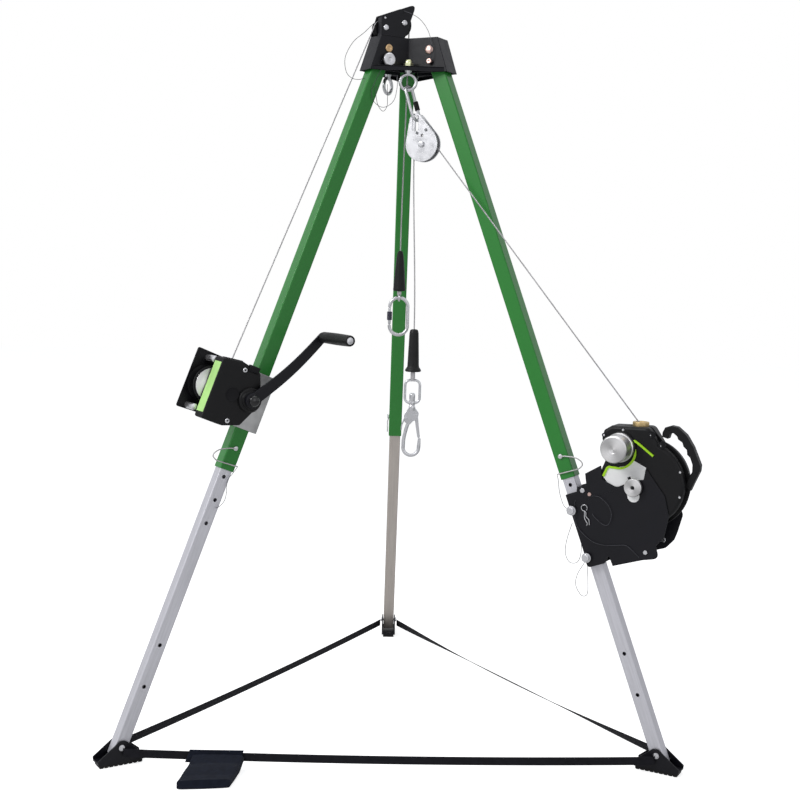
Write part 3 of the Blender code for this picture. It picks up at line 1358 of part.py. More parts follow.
def make_recovery_rope():
    points = recovery_rope_route()
    length = sum((b - a).length for a, b in zip(points, points[1:]))
    print(f"CORD recovery_rope length {length:.4f} points {len(points)}")
    return cord("recovery_rope", points, ROPE, rope_steel())


# Foot straps and pouch

STRAP_WIDTH = 0.025
STRAP_THICK = 0.0024
STRAP_HEIGHT = 0.042


def strap_end(azimuth, other):
    """Where the strap to another foot leaves the outside of this foot's ear."""
    frame = foot_frame(azimuth)
    towards = foot_frame(other).translation - frame.translation
    side = 1.0 if towards.dot(tangent(azimuth)) > 0 else -1.0
    clear = FOOT_OUTER + FOOT_HEAD + GAP + STRAP_THICK / 2
    return frame @ Vector((-0.002, side * clear, STRAP_HEIGHT - FOOT_BOLT_HEIGHT))


def strap(name, first, second, twist):
    """A flat strap between the ears of two feet, with a little sag."""
    start, end = strap_end(first, second), strap_end(second, first)
    along = (end - start).normalized()
    level = Vector((-along.y, along.x, 0.0))
    vertices, faces = [], []
    steps = 14
    for step in range(steps + 1):
        share = step / steps
        middle = start.lerp(end, share) - Vector((0, 0, 0.010 * 4 * share * (1 - share)))
        angle = twist * math.sin(math.pi * share)
        wide = Vector((0, 0, 1)) * math.cos(angle) + level * math.sin(angle)
        thin = along.cross(wide)
        for a, b in ((-1, -1), (1, -1), (1, 1), (-1, 1)):
            vertices.append(middle + wide * a * STRAP_WIDTH / 2 + thin * b * STRAP_THICK / 2)
    for step in range(steps):
        for corner in range(4):
            after = (corner + 1) % 4
            low, ahead = 4 * step + corner, 4 * step + after
            # Both broad faces are split along the same diagonal, so they stay parallel
            if corner == 2:
                faces += [[low, ahead, low + 4], [ahead, ahead + 4, low + 4]]
            else:
                faces += [[low, ahead, ahead + 4], [low, ahead + 4, low + 4]]
    faces += [[0, 1, 2, 3], [4 * steps + k for k in range(4)]]
    length = (end - start).length
    print(f"STRAP {name} length {length:.4f}")
    return solid(name, vertices, faces, Matrix.Identity(4), webbing())


def make_pouch():
    """A flat cloth pouch that hangs from the front strap and rests on the floor."""
    strap_y = strap_end(LEGS["left"], LEGS["right"]).y - STRAP_THICK / 2 - GAP
    left, right = -0.602, -0.448
    # Sections from the strap down to the floor: (forward, height of underside, thickness, shift)
    sections = ((0.0, 0.020, 0.030, 0.012), (-0.030, 0.012, 0.034, 0.008),
                (-0.070, 0.0, 0.034, 0.0), (-0.120, 0.0, 0.034, -0.006),
                (-0.165, 0.0, 0.030, -0.014))
    vertices, faces = [], []
    for forward, under, thick, shift in sections:
        y = strap_y + forward
        skew = 0.020 * (-forward / 0.165)
        for x, z in ((left, under), (right, under), (right, under + thick), (left, under + thick)):
            vertices.append((x + shift, y + (skew if x == right else 0.0), z))
    for step in range(len(sections) - 1):
        for corner in range(4):
            after = (corner + 1) % 4
            faces.append([4 * step + corner, 4 * step + after,
                          4 * step + 4 + after, 4 * step + 4 + corner])
    faces += [[0, 1, 2, 3], [4 * (len(sections) - 1) + k for k in range(4)]]
    return solid("strap_pouch", vertices, faces, Matrix.Identity(4), pouch_cloth())


# Wire lanyards: each route is a short list of places in the frame of what it hangs on

def make_lanyards():
    head = head_frame(LEGS["left"])
    right_head = head_frame(LEGS["right"])
    right_leg = fitted_frame("right")
    arc_route = [head @ Vector(p) for p in ((0.046, HEAD_HALF + GAP + WIRE / 2, 0.1240), (0.030, 0.0400, 0.1200),
                                            (0.000, 0.0440, 0.1050))]
    arc_route += [right_head @ Vector(p) for p in
                  ((0.0600, -0.0400, 0.0800), (0.0840, -0.0470, 0.0450), (0.0990, -0.0490, 0.0080),
                   (0.1100, -0.0480, -0.0180),
                   (LOCK_PLACE[0] + 0.0090 + GAP + WIRE / 2, -0.0440, LOCK_PLACE[1] + 0.001))]
    routed_cord("lanyard_head", arc_route, WIRE, rope_steel(), 0.0085)
    face = -UNIT_HALF - GAP - 0.004
    touch = GAP + WIRE / 2
    unit = [right_leg @ Vector((x, face - depth, z)) for x, z, depth in
            ((0.0150, -1.545, touch), (0.0500, -1.548, 0.006), (0.0800, -1.575, 0.006),
             (0.1050, -1.560, 0.006), (0.0980, -1.520, 0.006), (0.0700, -1.492, 0.006),
             (0.0480, -1.4960, 0.0035), (0.0280, -1.520, 0.004), (0.0200, -1.580, 0.005),
             (0.0360, -1.650, 0.005), (0.0700, -1.690, 0.005), (0.1150, -1.700, 0.005),
             (0.1480, -1.715, touch))]
    routed_cord("lanyard_unit", unit, WIRE, rope_steel(), 0.0140)


# Build and place

CORDS = ("winch_rope", "winch_rope_run", "recovery_rope", "recovery_rope_tail", "lanyard_head",
         "lanyard_unit")


def build():
    clear_scene()
    left_head = head_frame(LEGS["left"])
    make_head()
    make_eye("eye_front", 270.0)
    make_eye("eye_rear", 150.0)
    for side, azimuth in LEGS.items():
        cap, dome = (0.0145, 0.007) if side == "right" else (0.0125, 0.004)
        make_pivot_bolt(f"pivot_bolt_{side}", azimuth, cap, dome)
        cap, length = (0.0190, 0.018) if side == "left" else (0.0090, 0.012)
        make_lock_pin(f"lock_pin_{side}", azimuth, cap, length)
        make_upper_leg(side, azimuth)
        make_lower_leg(side, azimuth)
        make_foot(side, azimuth)
        make_adjusting_pin(side, azimuth)
    for label, place in (("inner", SHEAVE_IN), ("outer", SHEAVE_OUT)):
        make_sheave_axle(f"sheave_axle_{label}", place)
        make_sheave(f"sheave_{label}", place[2], side_axle(left_head, place[0], place[1]))
    winch = fitted_frame("left")
    make_winch_bracket(winch)
    make_winch_frame(winch)
    make_winch_cover(winch)
    make_drum(winch)
    _, tail_end = make_drum_rope(winch)
    make_crank(winch)
    make_grip(winch)
    unit = fitted_frame("right")
    make_unit_bracket(unit)
    make_unit_housing(unit)
    make_unit_knob(unit)
    make_unit_lever(unit)
    make_unit_collar(unit)
    make_block_carabiner()
    make_block()
    make_winch_run(tail_end)
    make_winch_rope()
    make_winch_bumper()
    make_winch_thimble()
    make_carabiner()
    make_carabiner_gate()
    make_recovery_rope()
    make_recovery_tail()
    make_recovery_bumper()
    make_swivel_link()
    make_swivel_hook()
    make_hook_gate()
    make_hook_lever()
    strap("strap_front", LEGS["left"], LEGS["right"], 0.0)
    strap("strap_left", LEGS["back"], LEGS["left"], 0.2)
    strap("strap_right", LEGS["right"], LEGS["back"], 1.2)
    make_pouch()
    make_lanyards()
    stand()


def stand():
    """Put the middle of the whole part's box over the origin, on the floor."""
    bpy.context.view_layer.update()
    graph = bpy.context.evaluated_depsgraph_get()
    low, high = Vector((9, 9, 9)), Vector((-9, -9, -9))
    triangles = 0
    for piece in bpy.data.objects:
        mesh = piece.evaluated_get(graph).to_mesh()
        count = sum(len(face.vertices) - 2 for face in mesh.polygons)
        triangles += count
        print(f"NODE {piece.name} {count}")
        if piece.name in CORDS:
            continue
        for vertex in mesh.vertices:
            place = piece.matrix_world @ vertex.co
            low = Vector(map(min, low, place))
            high = Vector(map(max, high, place))
    move = Vector((-(low.x + high.x) / 2, -(low.y + high.y) / 2, -low.z))
    holder = bpy.data.objects.new("lifting_tripod", None)
    bpy.context.scene.collection.objects.link(holder)
    for piece in bpy.data.objects:
        if piece is not holder:
            piece.parent = holder
    holder.location = move
    print(f"NODES {len(bpy.data.objects) - 1} TRIANGLES {triangles}")
    print("SHIFT", tuple(round(v, 6) for v in move), "SIZE", tuple(round(v, 4) for v in high - low))


build()
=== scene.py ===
# %% [markdown]
# # A lifting tripod, dressed in Blender
#
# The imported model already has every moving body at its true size. This lesson loads it as a fixed
# frame and dresses it: smoother forms, real finishes, ropes with strands, webbing with a weave.
# Lengths are in metres, +Z is up, and the front of the tripod faces -Y.

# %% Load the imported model
import math

import bmesh
import bpy
from mathutils import Matrix, Vector


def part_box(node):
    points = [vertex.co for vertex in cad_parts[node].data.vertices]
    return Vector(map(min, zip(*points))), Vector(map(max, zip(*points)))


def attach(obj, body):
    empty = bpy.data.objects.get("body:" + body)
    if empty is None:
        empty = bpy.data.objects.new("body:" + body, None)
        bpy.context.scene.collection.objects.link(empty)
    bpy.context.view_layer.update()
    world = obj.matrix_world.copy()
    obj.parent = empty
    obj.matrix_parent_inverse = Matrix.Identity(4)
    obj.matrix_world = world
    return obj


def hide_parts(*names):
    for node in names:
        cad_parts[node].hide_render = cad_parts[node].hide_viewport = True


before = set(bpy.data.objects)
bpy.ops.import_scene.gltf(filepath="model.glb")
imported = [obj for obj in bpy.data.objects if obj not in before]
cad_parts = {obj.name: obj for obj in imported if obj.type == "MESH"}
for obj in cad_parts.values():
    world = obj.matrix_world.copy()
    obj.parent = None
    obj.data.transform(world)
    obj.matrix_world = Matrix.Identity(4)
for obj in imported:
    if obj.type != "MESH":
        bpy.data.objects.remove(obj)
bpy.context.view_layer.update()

# %% [markdown]
# ## Sizes that the dressing shares with the frame
#
# A tripod has three equal legs, so one set of sizes and three directions describe most of it. The
# frame's origin is the middle of its box, so the tripod's own middle line is found from a ring that
# hangs in line with it.

# %% Named sizes
PIVOT_HEIGHT = 2.205
PIVOT_RADIUS = 0.0955
FOOT_BOLT_HEIGHT = 0.055
LEG_ANGLE = math.radians(21.43)
UPPER_TUBE = 0.048
LOWER_TUBE = 0.041
UPPER_LENGTH = 1.437
GAP = 0.0003
ROPE = 0.0045
WIRE = 0.002
HEAD_HALF = 0.036
PLATE = 0.004
FOOT_WALL = 0.006
STRAP_HALF = 0.0012
HEAD_TOP = 0.04
HEAD_BOTTOM = -0.072
SOCKET_TOP = 0.1245
SOCKET_BOTTOM = 0.1625
SHEAVE_IN = (0.04, 0.0866, 0.0395)
SHEAVE_OUT = (0.1085, 0.0641, 0.0232)
SHEAVE_HALF = 0.0095
EYE_REACH = 0.075
EYE_DROP = -0.105
EYE_RADIUS = 0.0255
EYE_BAR = 0.0055
BRIDGE = (-0.0615, -0.0575)
LOCK_PLACE = (0.101, -0.038)
DRUM_PLACE = (0.149, 1.211)
DRUM_CORE = 0.0297
DRUM_FLANGE = 0.0575
DRUM_SPAN = (-0.0235, 0.019)
CRANK_PLACE = (0.034, 1.214)
CRANK_END = (-0.114, 0.95)
WINCH_BACK = -0.0278
COVER_FACES = (0.0281, 0.068)
UNIT_HALF = 0.0395
KNOB_PLACE = (0.204, 1.393)
SELECTOR_PLACE = (0.207, 1.519)
COLLAR_PLACE = (0.271, 1.343)
COLLAR_TOP = 0.021
TAIL = 0.055
BLOCK_AXLE = 0.06
BLOCK_HEIGHT = 1.8995
BLOCK_ROPE = 0.0315
BLOCK_DIRECTION = math.radians(-27.0)
BLOCK_EYE = (0.036, 1.9765)
HOOK_X, HOOK_Y = 0.0425, -0.097
CARABINER_X = -0.008
PIN_PLACE = 1.366
HOLES = (UPPER_LENGTH + 0.022, UPPER_LENGTH + 0.097, UPPER_LENGTH + 0.172, 1.995, 2.124)
LEG_LENGTH = (PIVOT_HEIGHT - FOOT_BOLT_HEIGHT) / math.cos(LEG_ANGLE)
LEGS = {"left": 210.0, "right": 330.0, "back": 90.0}
UP = Vector((0.0, 0.0, 1.0))

ring_low, ring_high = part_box("eye_front")
MIDDLE = Vector(((ring_low.x + ring_high.x) / 2, (ring_low.y + ring_high.y) / 2 + EYE_REACH, 0.0))
print("middle line", tuple(round(v, 5) for v in MIDDLE))

# %% Directions and frames
def axes_frame(origin, x_axis, y_axis, z_axis):
    made = Matrix.Identity(4)
    for column, axis in enumerate((x_axis, y_axis, z_axis, origin)):
        for row in range(3):
            made[row][column] = axis[row]
    return made


def radial(azimuth):
    angle = math.radians(azimuth)
    return Vector((math.cos(angle), math.sin(angle), 0.0))


def tangent(azimuth):
    angle = math.radians(azimuth)
    return Vector((-math.sin(angle), math.cos(angle), 0.0))


def upright(x, y, z=0.0):
    """A frame with the world's own directions."""
    return Matrix.Translation(MIDDLE + Vector((x, y, z)))


def leg_frame(azimuth):
    """Origin on the leg bolt, +X out of the leg's outer face, +Z up the leg."""
    out = radial(azimuth)
    normal = out * math.cos(LEG_ANGLE) + UP * math.sin(LEG_ANGLE)
    along = UP * math.cos(LEG_ANGLE) - out * math.sin(LEG_ANGLE)
    origin = MIDDLE + out * PIVOT_RADIUS + UP * PIVOT_HEIGHT
    return axes_frame(origin, normal, tangent(azimuth), along)


def head_frame(azimuth):
    return axes_frame(MIDDLE + UP * PIVOT_HEIGHT, radial(azimuth), tangent(azimuth), UP)


def foot_frame(azimuth):
    reach = PIVOT_RADIUS + (PIVOT_HEIGHT - FOOT_BOLT_HEIGHT) * math.tan(LEG_ANGLE)
    origin = MIDDLE + radial(azimuth) * reach + UP * FOOT_BOLT_HEIGHT
    return axes_frame(origin, radial(azimuth), tangent(azimuth), UP)


def block_frame():
    along = Vector((math.cos(BLOCK_DIRECTION), math.sin(BLOCK_DIRECTION), 0.0))
    return axes_frame(MIDDLE + Vector((0.0, -EYE_REACH, 0.0)), along, UP.cross(along), UP)


def shifted(base, x, y, z):
    return base @ Matrix.Translation((x, y, z))


def side_axle(base, x, z, towards=1.0):
    """A frame at (x, z) whose +Z runs along the parent's Y axis, or against it."""
    return shifted(base, x, 0.0, z) @ Matrix.Rotation(-towards * math.pi / 2, 4, "X")


def near_side(azimuth):
    """+1 where the socket's +Y cheek faces the front of the tripod, else -1."""
    return -1.0 if azimuth == LEGS["right"] else 1.0


LEFT_LEG, RIGHT_LEG = leg_frame(LEGS["left"]), leg_frame(LEGS["right"])
LEFT_HEAD, RIGHT_HEAD = head_frame(LEGS["left"]), head_frame(LEGS["right"])

# %% [markdown]
# ## The camera
#
# The photograph was taken from chest height, a little to the left, with a normal lens. The camera's
# three directions were fitted to the legs, so they are set as they are instead of being aimed.

# %% Camera
FOCAL_PIXELS = 1287.478
PICTURE = 800.0
camera_data = bpy.data.cameras.new("photo_camera")
camera_data.sensor_width = 36.0
camera_data.lens = FOCAL_PIXELS / PICTURE * camera_data.sensor_width
camera_data.shift_x = -30.0 / PICTURE
camera_data.shift_y = -60.0 / PICTURE
camera = bpy.data.objects.new("photo_camera", camera_data)
bpy.context.scene.collection.objects.link(camera)
CAMERA_RIGHT = Vector((0.998832, -0.037826, 0.030064))
CAMERA_UP = Vector((-0.027699, 0.06155, 0.99772))
CAMERA_AHEAD = Vector((0.03959, 0.997387, -0.06043))
camera.matrix_world = axes_frame(MIDDLE + Vector((-0.070756, -4.268916, 1.523302)), CAMERA_RIGHT,
    CAMERA_UP, -CAMERA_AHEAD)
bpy.context.scene.camera = camera
print("lens", round(camera_data.lens, 2), "mm")

# %% [markdown]
# ## Finishes
#
# Every finish is a small node tree on Object or UV coordinates, so nothing slides when a leg folds. A
# paint has a fine orange peel and a slow drift of tone. A metal gets its life from uneven roughness.

# %% Helpers for node trees
def new_finish(name):
    material = bpy.data.materials.new(name)
    material.use_nodes = True
    return material, material.node_tree, material.node_tree.nodes["Principled BSDF"]


def feed(tree, target, inputs):
    """Set a node's inputs: a socket is linked, and anything else is a plain value."""
    for key, value in inputs.items():
        if isinstance(value, bpy.types.NodeSocket):
            tree.links.new(value, target.inputs[key])
        else:
            target.inputs[key].default_value = value


def node(tree, kind, inputs=None, **settings):
    made = tree.nodes.new(kind)
    for key, value in settings.items():
        setattr(made, key, value)
    feed(tree, made, inputs or {})
    return made


def maths(tree, operation, *values):
    return node(tree, "ShaderNodeMath", dict(enumerate(values)), operation=operation).outputs["Value"]


def noise(tree, source, scale, detail=3.0, roughness=0.55):
    inputs = {"Vector": source, "Scale": scale, "Detail": detail, "Roughness": roughness}
    return node(tree, "ShaderNodeTexNoise", inputs).outputs["Fac"]


def spread(tree, value, low, high, source=(0.3, 0.7)):
    """Map a noise value on to a range."""
    inputs = {"Value": value, "From Min": source[0], "From Max": source[1], "To Min": low,
        "To Max": high}
    return node(tree, "ShaderNodeMapRange", inputs).outputs["Result"]


def drift(tree, value, colour, amount):
    """A colour that wanders a little darker and lighter."""
    dark = (*[c * (1 - amount) for c in colour], 1.0)
    light = (*[min(1.0, c * (1 + amount)) for c in colour], 1.0)
    inputs = {"A": dark, "B": light, "Factor": spread(tree, value, 0.0, 1.0)}
    return node(tree, "ShaderNodeMix", inputs, data_type="RGBA").outputs["Result"]


def relief(tree, height, distance, strength=1.0):
    inputs = {"Height": height, "Distance": distance, "Strength": strength}
    return node(tree, "ShaderNodeBump", inputs).outputs["Normal"]


# %% Paints, plastics and metals
def surface(name, colour, metallic=0.0, roughness=(0.3, 0.4), grain=900.0, peel=0.00002, tone=0.06,
        coat=0.0, shine=0.5):
    """A plain finish: fine relief, a slow drift of tone and of roughness."""
    material, tree, shader = new_finish(name)
    place = node(tree, "ShaderNodeTexCoord").outputs["Object"]
    feed(tree, shader, {"Metallic": metallic, "Coat Weight": coat, "Coat Roughness": 0.12,
        "Specular IOR Level": shine, "Base Color": drift(tree, noise(tree, place, 9.0), colour, tone),
        "Roughness": spread(tree, noise(tree, place, 38.0), *roughness),
        "Normal": relief(tree, noise(tree, place, grain, 2.0), peel)})
    return material


def drawn(name, colour, roughness, metallic=1.0, streak=0.1, across=900.0, along=6.0):
    """Drawn or extruded metal: streaks that follow the piece's own UV map."""
    material, tree, shader = new_finish(name)
    uv = node(tree, "ShaderNodeTexCoord").outputs["UV"]
    stretch = node(tree, "ShaderNodeMapping", {"Vector": uv, "Scale": (across, along, 1.0)})
    lines = noise(tree, stretch.outputs["Vector"], 1.0, 4.0, 0.7)
    feed(tree, shader, {"Metallic": metallic, "Base Color": drift(tree, lines, colour, streak),
        "Roughness": spread(tree, lines, *roughness), "Normal": relief(tree, lines, 0.00003, 0.6)})
    return material


GREEN = surface("green_powder_coat", (0.026, 0.235, 0.034), roughness=(0.32, 0.36), peel=0.00003,
    tone=0.02, coat=0.12, shine=0.35)
SILVER = drawn("silver_anodised_tube", (0.66, 0.655, 0.7), (0.34, 0.5), metallic=0.55)
BLACK = surface("black_powder_coat", (0.0045, 0.0045, 0.0075), roughness=(0.36, 0.46), grain=1500.0,
    peel=0.00005, tone=0.12, shine=0.26)
MOULDED = surface("black_moulded_plastic", (0.004, 0.004, 0.0048), roughness=(0.38, 0.5), grain=2600.0,
    peel=0.00006, tone=0.1, shine=0.24)
FRAME_BLACK = surface("black_plate_of_the_winch", (0.003, 0.003, 0.0045), roughness=(0.34, 0.44),
    grain=1500.0, peel=0.00004, tone=0.12, shine=0.2)
RUBBER = surface("black_rubber", (0.0055, 0.0055, 0.006), roughness=(0.42, 0.6), grain=700.0,
    peel=0.00008, tone=0.15, shine=0.3)
ZINC = surface("bright_zinc", (0.64, 0.64, 0.66), metallic=0.95, roughness=(0.22, 0.36), grain=500.0,
    peel=0.00003, tone=0.08)
FORGED = surface("satin_forged_steel", (0.63, 0.63, 0.65), metallic=0.9, roughness=(0.22, 0.36),
    grain=260.0, peel=0.0001, tone=0.06)
WARM_ZINC = surface("yellow_zinc", (0.78, 0.8, 0.5), metallic=0.9, roughness=(0.24, 0.4), grain=500.0,
    peel=0.00003, tone=0.1)
COPPER = surface("bronzed_bolt", (0.66, 0.47, 0.42), metallic=0.95, roughness=(0.26, 0.44), grain=400.0,
    peel=0.00004, tone=0.14)
GILT = surface("gilt_bolt", (0.66, 0.45, 0.24), metallic=0.6, roughness=(0.34, 0.46), grain=400.0,
    peel=0.00003)
BRASS = surface("cast_brass", (0.58, 0.43, 0.21), metallic=0.8, roughness=(0.34, 0.5), grain=300.0,
    peel=0.0001, tone=0.08)
ROPE_STEEL = surface("galvanised_strand", (0.5, 0.49, 0.5), metallic=0.7, roughness=(0.36, 0.52),
    grain=900.0, peel=0.00003, tone=0.14)
WIRE_STEEL = surface("lanyard_wire", (0.055, 0.055, 0.065), metallic=0.4, roughness=(0.34, 0.5),
    grain=900.0, peel=0.00003, tone=0.14)
LIME = surface("lime_trim", (0.42, 0.78, 0.01), roughness=(0.35, 0.5), grain=900.0, peel=0.00003)
LABEL = surface("pale_green_label", (0.5, 0.86, 0.28), roughness=(0.35, 0.5), grain=900.0, peel=0.00002,
    tone=0.12)
WHITE = surface("white_plate", (0.94, 0.94, 0.94), roughness=(0.4, 0.5), grain=900.0, peel=0.00002,
    tone=0.01)
CAST = surface("cast_wheel", (0.5, 0.49, 0.49), metallic=0.7, roughness=(0.4, 0.62), grain=120.0,
    peel=0.0003, tone=0.14)
MOUNT = surface("cast_bracket", (0.42, 0.42, 0.42), metallic=0.55, roughness=(0.34, 0.62), grain=90.0,
    peel=0.0004, tone=0.45)
GLOSS = surface("glossy_black_cap", (0.004, 0.004, 0.005), roughness=(0.1, 0.16), grain=900.0,
    peel=0.00001, coat=0.3, shine=0.4)
DARK_SLEEVE = surface("dark_sleeve", (0.03, 0.03, 0.055), roughness=(0.35, 0.5), peel=0.00003)

# %% [markdown]
# Turned faces show rings round their own axis. Each such face carries a UV map whose first direction
# is the radius, so the rings stay on the piece whatever way it is turned.

# %% Turned steel, webbing and cloth
def turned(name, colour, swing):
    """Drawn metal with painted highlights: its colour goes lighter and darker twice in each turn, as
    light falls on a turned face.
    """
    material = drawn(name, colour, (0.28, 0.44), metallic=0.9, streak=0.12, across=2200.0, along=0.6)
    tree = material.node_tree
    shader = tree.nodes["Principled BSDF"]
    uv = node(tree, "ShaderNodeTexCoord").outputs["UV"]
    around = node(tree, "ShaderNodeSeparateXYZ", {0: uv}).outputs["Y"]
    # Painted highlight and shade: the base colour is multiplied by a wave that runs twice round the
    # axis.
    wave = maths(tree, "SINE", maths(tree, "MULTIPLY_ADD", around, 4 * math.pi, 0.6))
    inputs = {"Factor": 1.0, "A": shader.inputs["Base Color"].links[0].from_socket,
        "B": spread(tree, wave, 1.0 - swing, 1.0, (-1.0, 1.0))}
    shade = node(tree, "ShaderNodeMix", inputs, data_type="RGBA", blend_type="MULTIPLY")
    feed(tree, shader, {"Base Color": shade.outputs["Result"]})
    return material


STEEL_WITH_PAINTED_SHEEN = turned("turned_steel_painted_sheen", (0.8, 0.79, 0.79), 0.42)


def woven(name, colour, across, along, depth, rough):
    """Warp and weft as two crossed waves on the piece's UV map, in metres."""
    material, tree, shader = new_finish(name)
    places = node(tree, "ShaderNodeTexCoord").outputs
    waves = []
    for direction, count in (("X", across), ("Y", along)):
        inputs = {"Vector": places["UV"], "Scale": count / 20.0, "Distortion": 0.15, "Detail": 1.0}
        waves.append(node(tree, "ShaderNodeTexWave", inputs, wave_type="BANDS",
            bands_direction=direction).outputs["Fac"])
    feed(tree, shader, {"Sheen Weight": 0.06, "Sheen Roughness": 0.5, "Specular IOR Level": 0.12,
        "Roughness": rough, "Base Color": drift(tree, noise(tree, places["Object"], 60.0), colour,
        0.25), "Normal": relief(tree, maths(tree, "MULTIPLY", *waves), depth)})
    return material


WEBBING = woven("black_webbing", (0.01, 0.01, 0.014), 6000.0, 3000.0, 0.0005, 0.75)
CLOTH = woven("navy_pouch_cloth", (0.01, 0.013, 0.024), 9000.0, 9000.0, 0.0003, 0.85)

# %% [markdown]
# ## Makers
#
# Four ways of making cover a welded and machined product: turning a profile, running a bar along a
# line, cutting plate to an outline, and drawing a tube. Each maker leaves its object at the origin
# with the shape in its place, as the frame's own pieces are.

# %% Meshes from points
def placed(name, data):
    """An object at the origin, linked to the scene."""
    made = bpy.data.objects.new(name, data)
    bpy.context.scene.collection.objects.link(made)
    return made


def skin(shape, rings, uv=None, closed=False, capped=True, folded=True):
    """Faces between rings of points. uv gives the place on the map of each (ring, step)."""
    layer = shape.loops.layers.uv.new("UVMap") if uv else None
    count, sides = len(rings), len(rings[0])
    for index in range(count if closed else count - 1):
        for step in range(sides if folded else sides - 1):
            corners = {}
            for row, turn in ((index, step), (index, step + 1), (index + 1, step + 1),
                    (index + 1, step)):
                corners.setdefault(rings[row % count][turn % sides], (row, turn))
            if len(corners) < 3:
                continue
            face = shape.faces.new(list(corners))
            if uv:
                for loop, corner in zip(face.loops, corners.values()):
                    loop[layer].uv = uv(*corner)
    if capped and not closed:
        shape.faces.new(rings[0][::-1])
        shape.faces.new(rings[-1])


def finish_mesh(name, shape, material, angle=32.0):
    """Close up, face outwards, shade and link a bmesh."""
    bmesh.ops.remove_doubles(shape, verts=shape.verts, dist=1e-6)
    bmesh.ops.recalc_face_normals(shape, faces=shape.faces)
    mesh = bpy.data.meshes.new(name)
    shape.to_mesh(mesh)
    shape.free()
    mesh.shade_smooth()
    mesh.set_sharp_from_angle(angle=math.radians(angle))
    mesh.materials.append(material)
    return placed(name, mesh)


def evaluated(piece):
    """The plain mesh that a curve, a node tree or a stack of modifiers gives."""
    bpy.context.view_layer.update()
    graph = bpy.context.evaluated_depsgraph_get()
    return bpy.data.meshes.new_from_object(piece.evaluated_get(graph))


def baked(holder):
    mesh = evaluated(holder)
    bpy.data.objects.remove(holder, do_unlink=True)
    return mesh


def settle(piece):
    mesh = evaluated(piece)
    piece.modifiers.clear()
    piece.data = mesh
    return piece


def bevelled(piece, width, segments=3, limit=50.0):
    """Break the sharp edges, and let flat faces keep their own normals."""
    edge = piece.modifiers.new("edge", "BEVEL")
    edge.width = width
    edge.segments = segments
    edge.limit_method = "ANGLE"
    edge.angle_limit = math.radians(limit)
    edge.use_clamp_overlap = False
    edge.harden_normals = False
    piece.modifiers.new("flat", "WEIGHTED_NORMAL").keep_sharp = True
    return settle(piece)


def joined(name, pieces):
    """Make one piece of several, each with its own finish."""
    shape = bmesh.new()
    materials = []
    for piece in pieces:
        offset = len(materials)
        materials += [slot.material for slot in piece.material_slots]
        mesh = piece.data
        start = len(shape.faces)
        shape.from_mesh(mesh)
        shape.faces.ensure_lookup_table()
        for index in range(start, len(shape.faces)):
            shape.faces[index].material_index += offset
    mesh = bpy.data.meshes.new(name)
    shape.to_mesh(mesh)
    shape.free()
    for material in materials:
        mesh.materials.append(material)
    for piece in pieces:
        bpy.data.objects.remove(piece, do_unlink=True)
    return placed(name, mesh)


def fit(piece, body, slot, *nodes):
    """Let a finished piece ride on its body and stand for the frame's own nodes."""
    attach(piece, body)
    if nodes:
        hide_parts(*nodes)
    return piece


def merged(name, pieces, body, slot, *nodes):
    return fit(joined(name, pieces), body, slot, *nodes)


# %% Turning, bars, plates and tubes
def soften(profile, radius=0.0006):
    """Round every corner of a profile a little, as a turning tool leaves it."""
    made = [profile[0]]
    for before, here, after in zip(profile, profile[1:], profile[2:]):
        here = Vector(here)
        back, ahead = Vector(before) - here, Vector(after) - here
        reach = min(radius, back.length * 0.4, ahead.length * 0.4)
        start, end = here + back.normalized() * reach, here + ahead.normalized() * reach
        for share in (0.0, 0.5, 1.0):
            made.append(tuple((1 - share) ** 2 * start + 2 * share * (1 - share) * here
                + share ** 2 * end))
    return made + [profile[-1]]


def lathe(name, profile, base, material, sides=48, radius=0.0006, at=0.0):
    """Turn (radius, height above at) points round +Z. UV x is the distance along the profile."""
    points = [(reach, at + height) for reach, height in profile]
    points = soften(points, radius) if radius else points
    shape = bmesh.new()
    lengths = [0.0]
    for first, second in zip(points, points[1:]):
        lengths.append(lengths[-1] + (Vector(second) - Vector(first)).length)
    turn = [2 * math.pi * step / sides for step in range(sides)]
    rings = []
    for reach, height in points:
        if reach < 1e-6:
            rings.append([shape.verts.new(base @ Vector((0, 0, height)))] * sides)
        else:
            rings.append([shape.verts.new(base @ Vector((reach * math.cos(angle),
                reach * math.sin(angle), height))) for angle in turn])
    hollow = points[0][0] > 1e-6 and points[-1][0] > 1e-6
    skin(shape, rings, lambda row, step: (lengths[row % len(rings)], step / sides), hollow, False)
    return finish_mesh(name, shape, material)


def solid(name, profile, *rest, **more):
    """The same, with both ends of the profile closed to the axis."""
    return lathe(name, [(0.0, profile[0][1]), *profile, (0.0, profile[-1][1])], *rest, **more)


def smooth_line(route, spacing):
    """Even points on a smooth curve through a few given ones."""
    route = [Vector(point) for point in route]
    dense = []
    for index, (here, ahead) in enumerate(zip(route, route[1:])):
        before = route[index - 1] if index else here * 2 - ahead
        after = route[index + 2] if index + 2 < len(route) else ahead * 2 - here
        for step in range(16):
            t = step / 16
            dense.append(0.5 * (2 * here + (ahead - before) * t + (2 * before - 5 * here
                + 4 * ahead - after) * t ** 2 + (3 * here - before - 3 * ahead + after) * t ** 3))
    dense.append(route[-1])
    lengths = [0.0]
    for first, second in zip(dense, dense[1:]):
        lengths.append(lengths[-1] + (second - first).length)
    steps = max(2, int(round(lengths[-1] / spacing)))
    points, place = [], 0
    for step in range(steps + 1):
        goal = lengths[-1] * step / steps
        while place < len(dense) - 2 and lengths[place + 1] < goal:
            place += 1
        span = lengths[place + 1] - lengths[place]
        share = (goal - lengths[place]) / span if span else 0.0
        points.append(dense[place].lerp(dense[place + 1], min(max(share, 0.0), 1.0)))
    return points


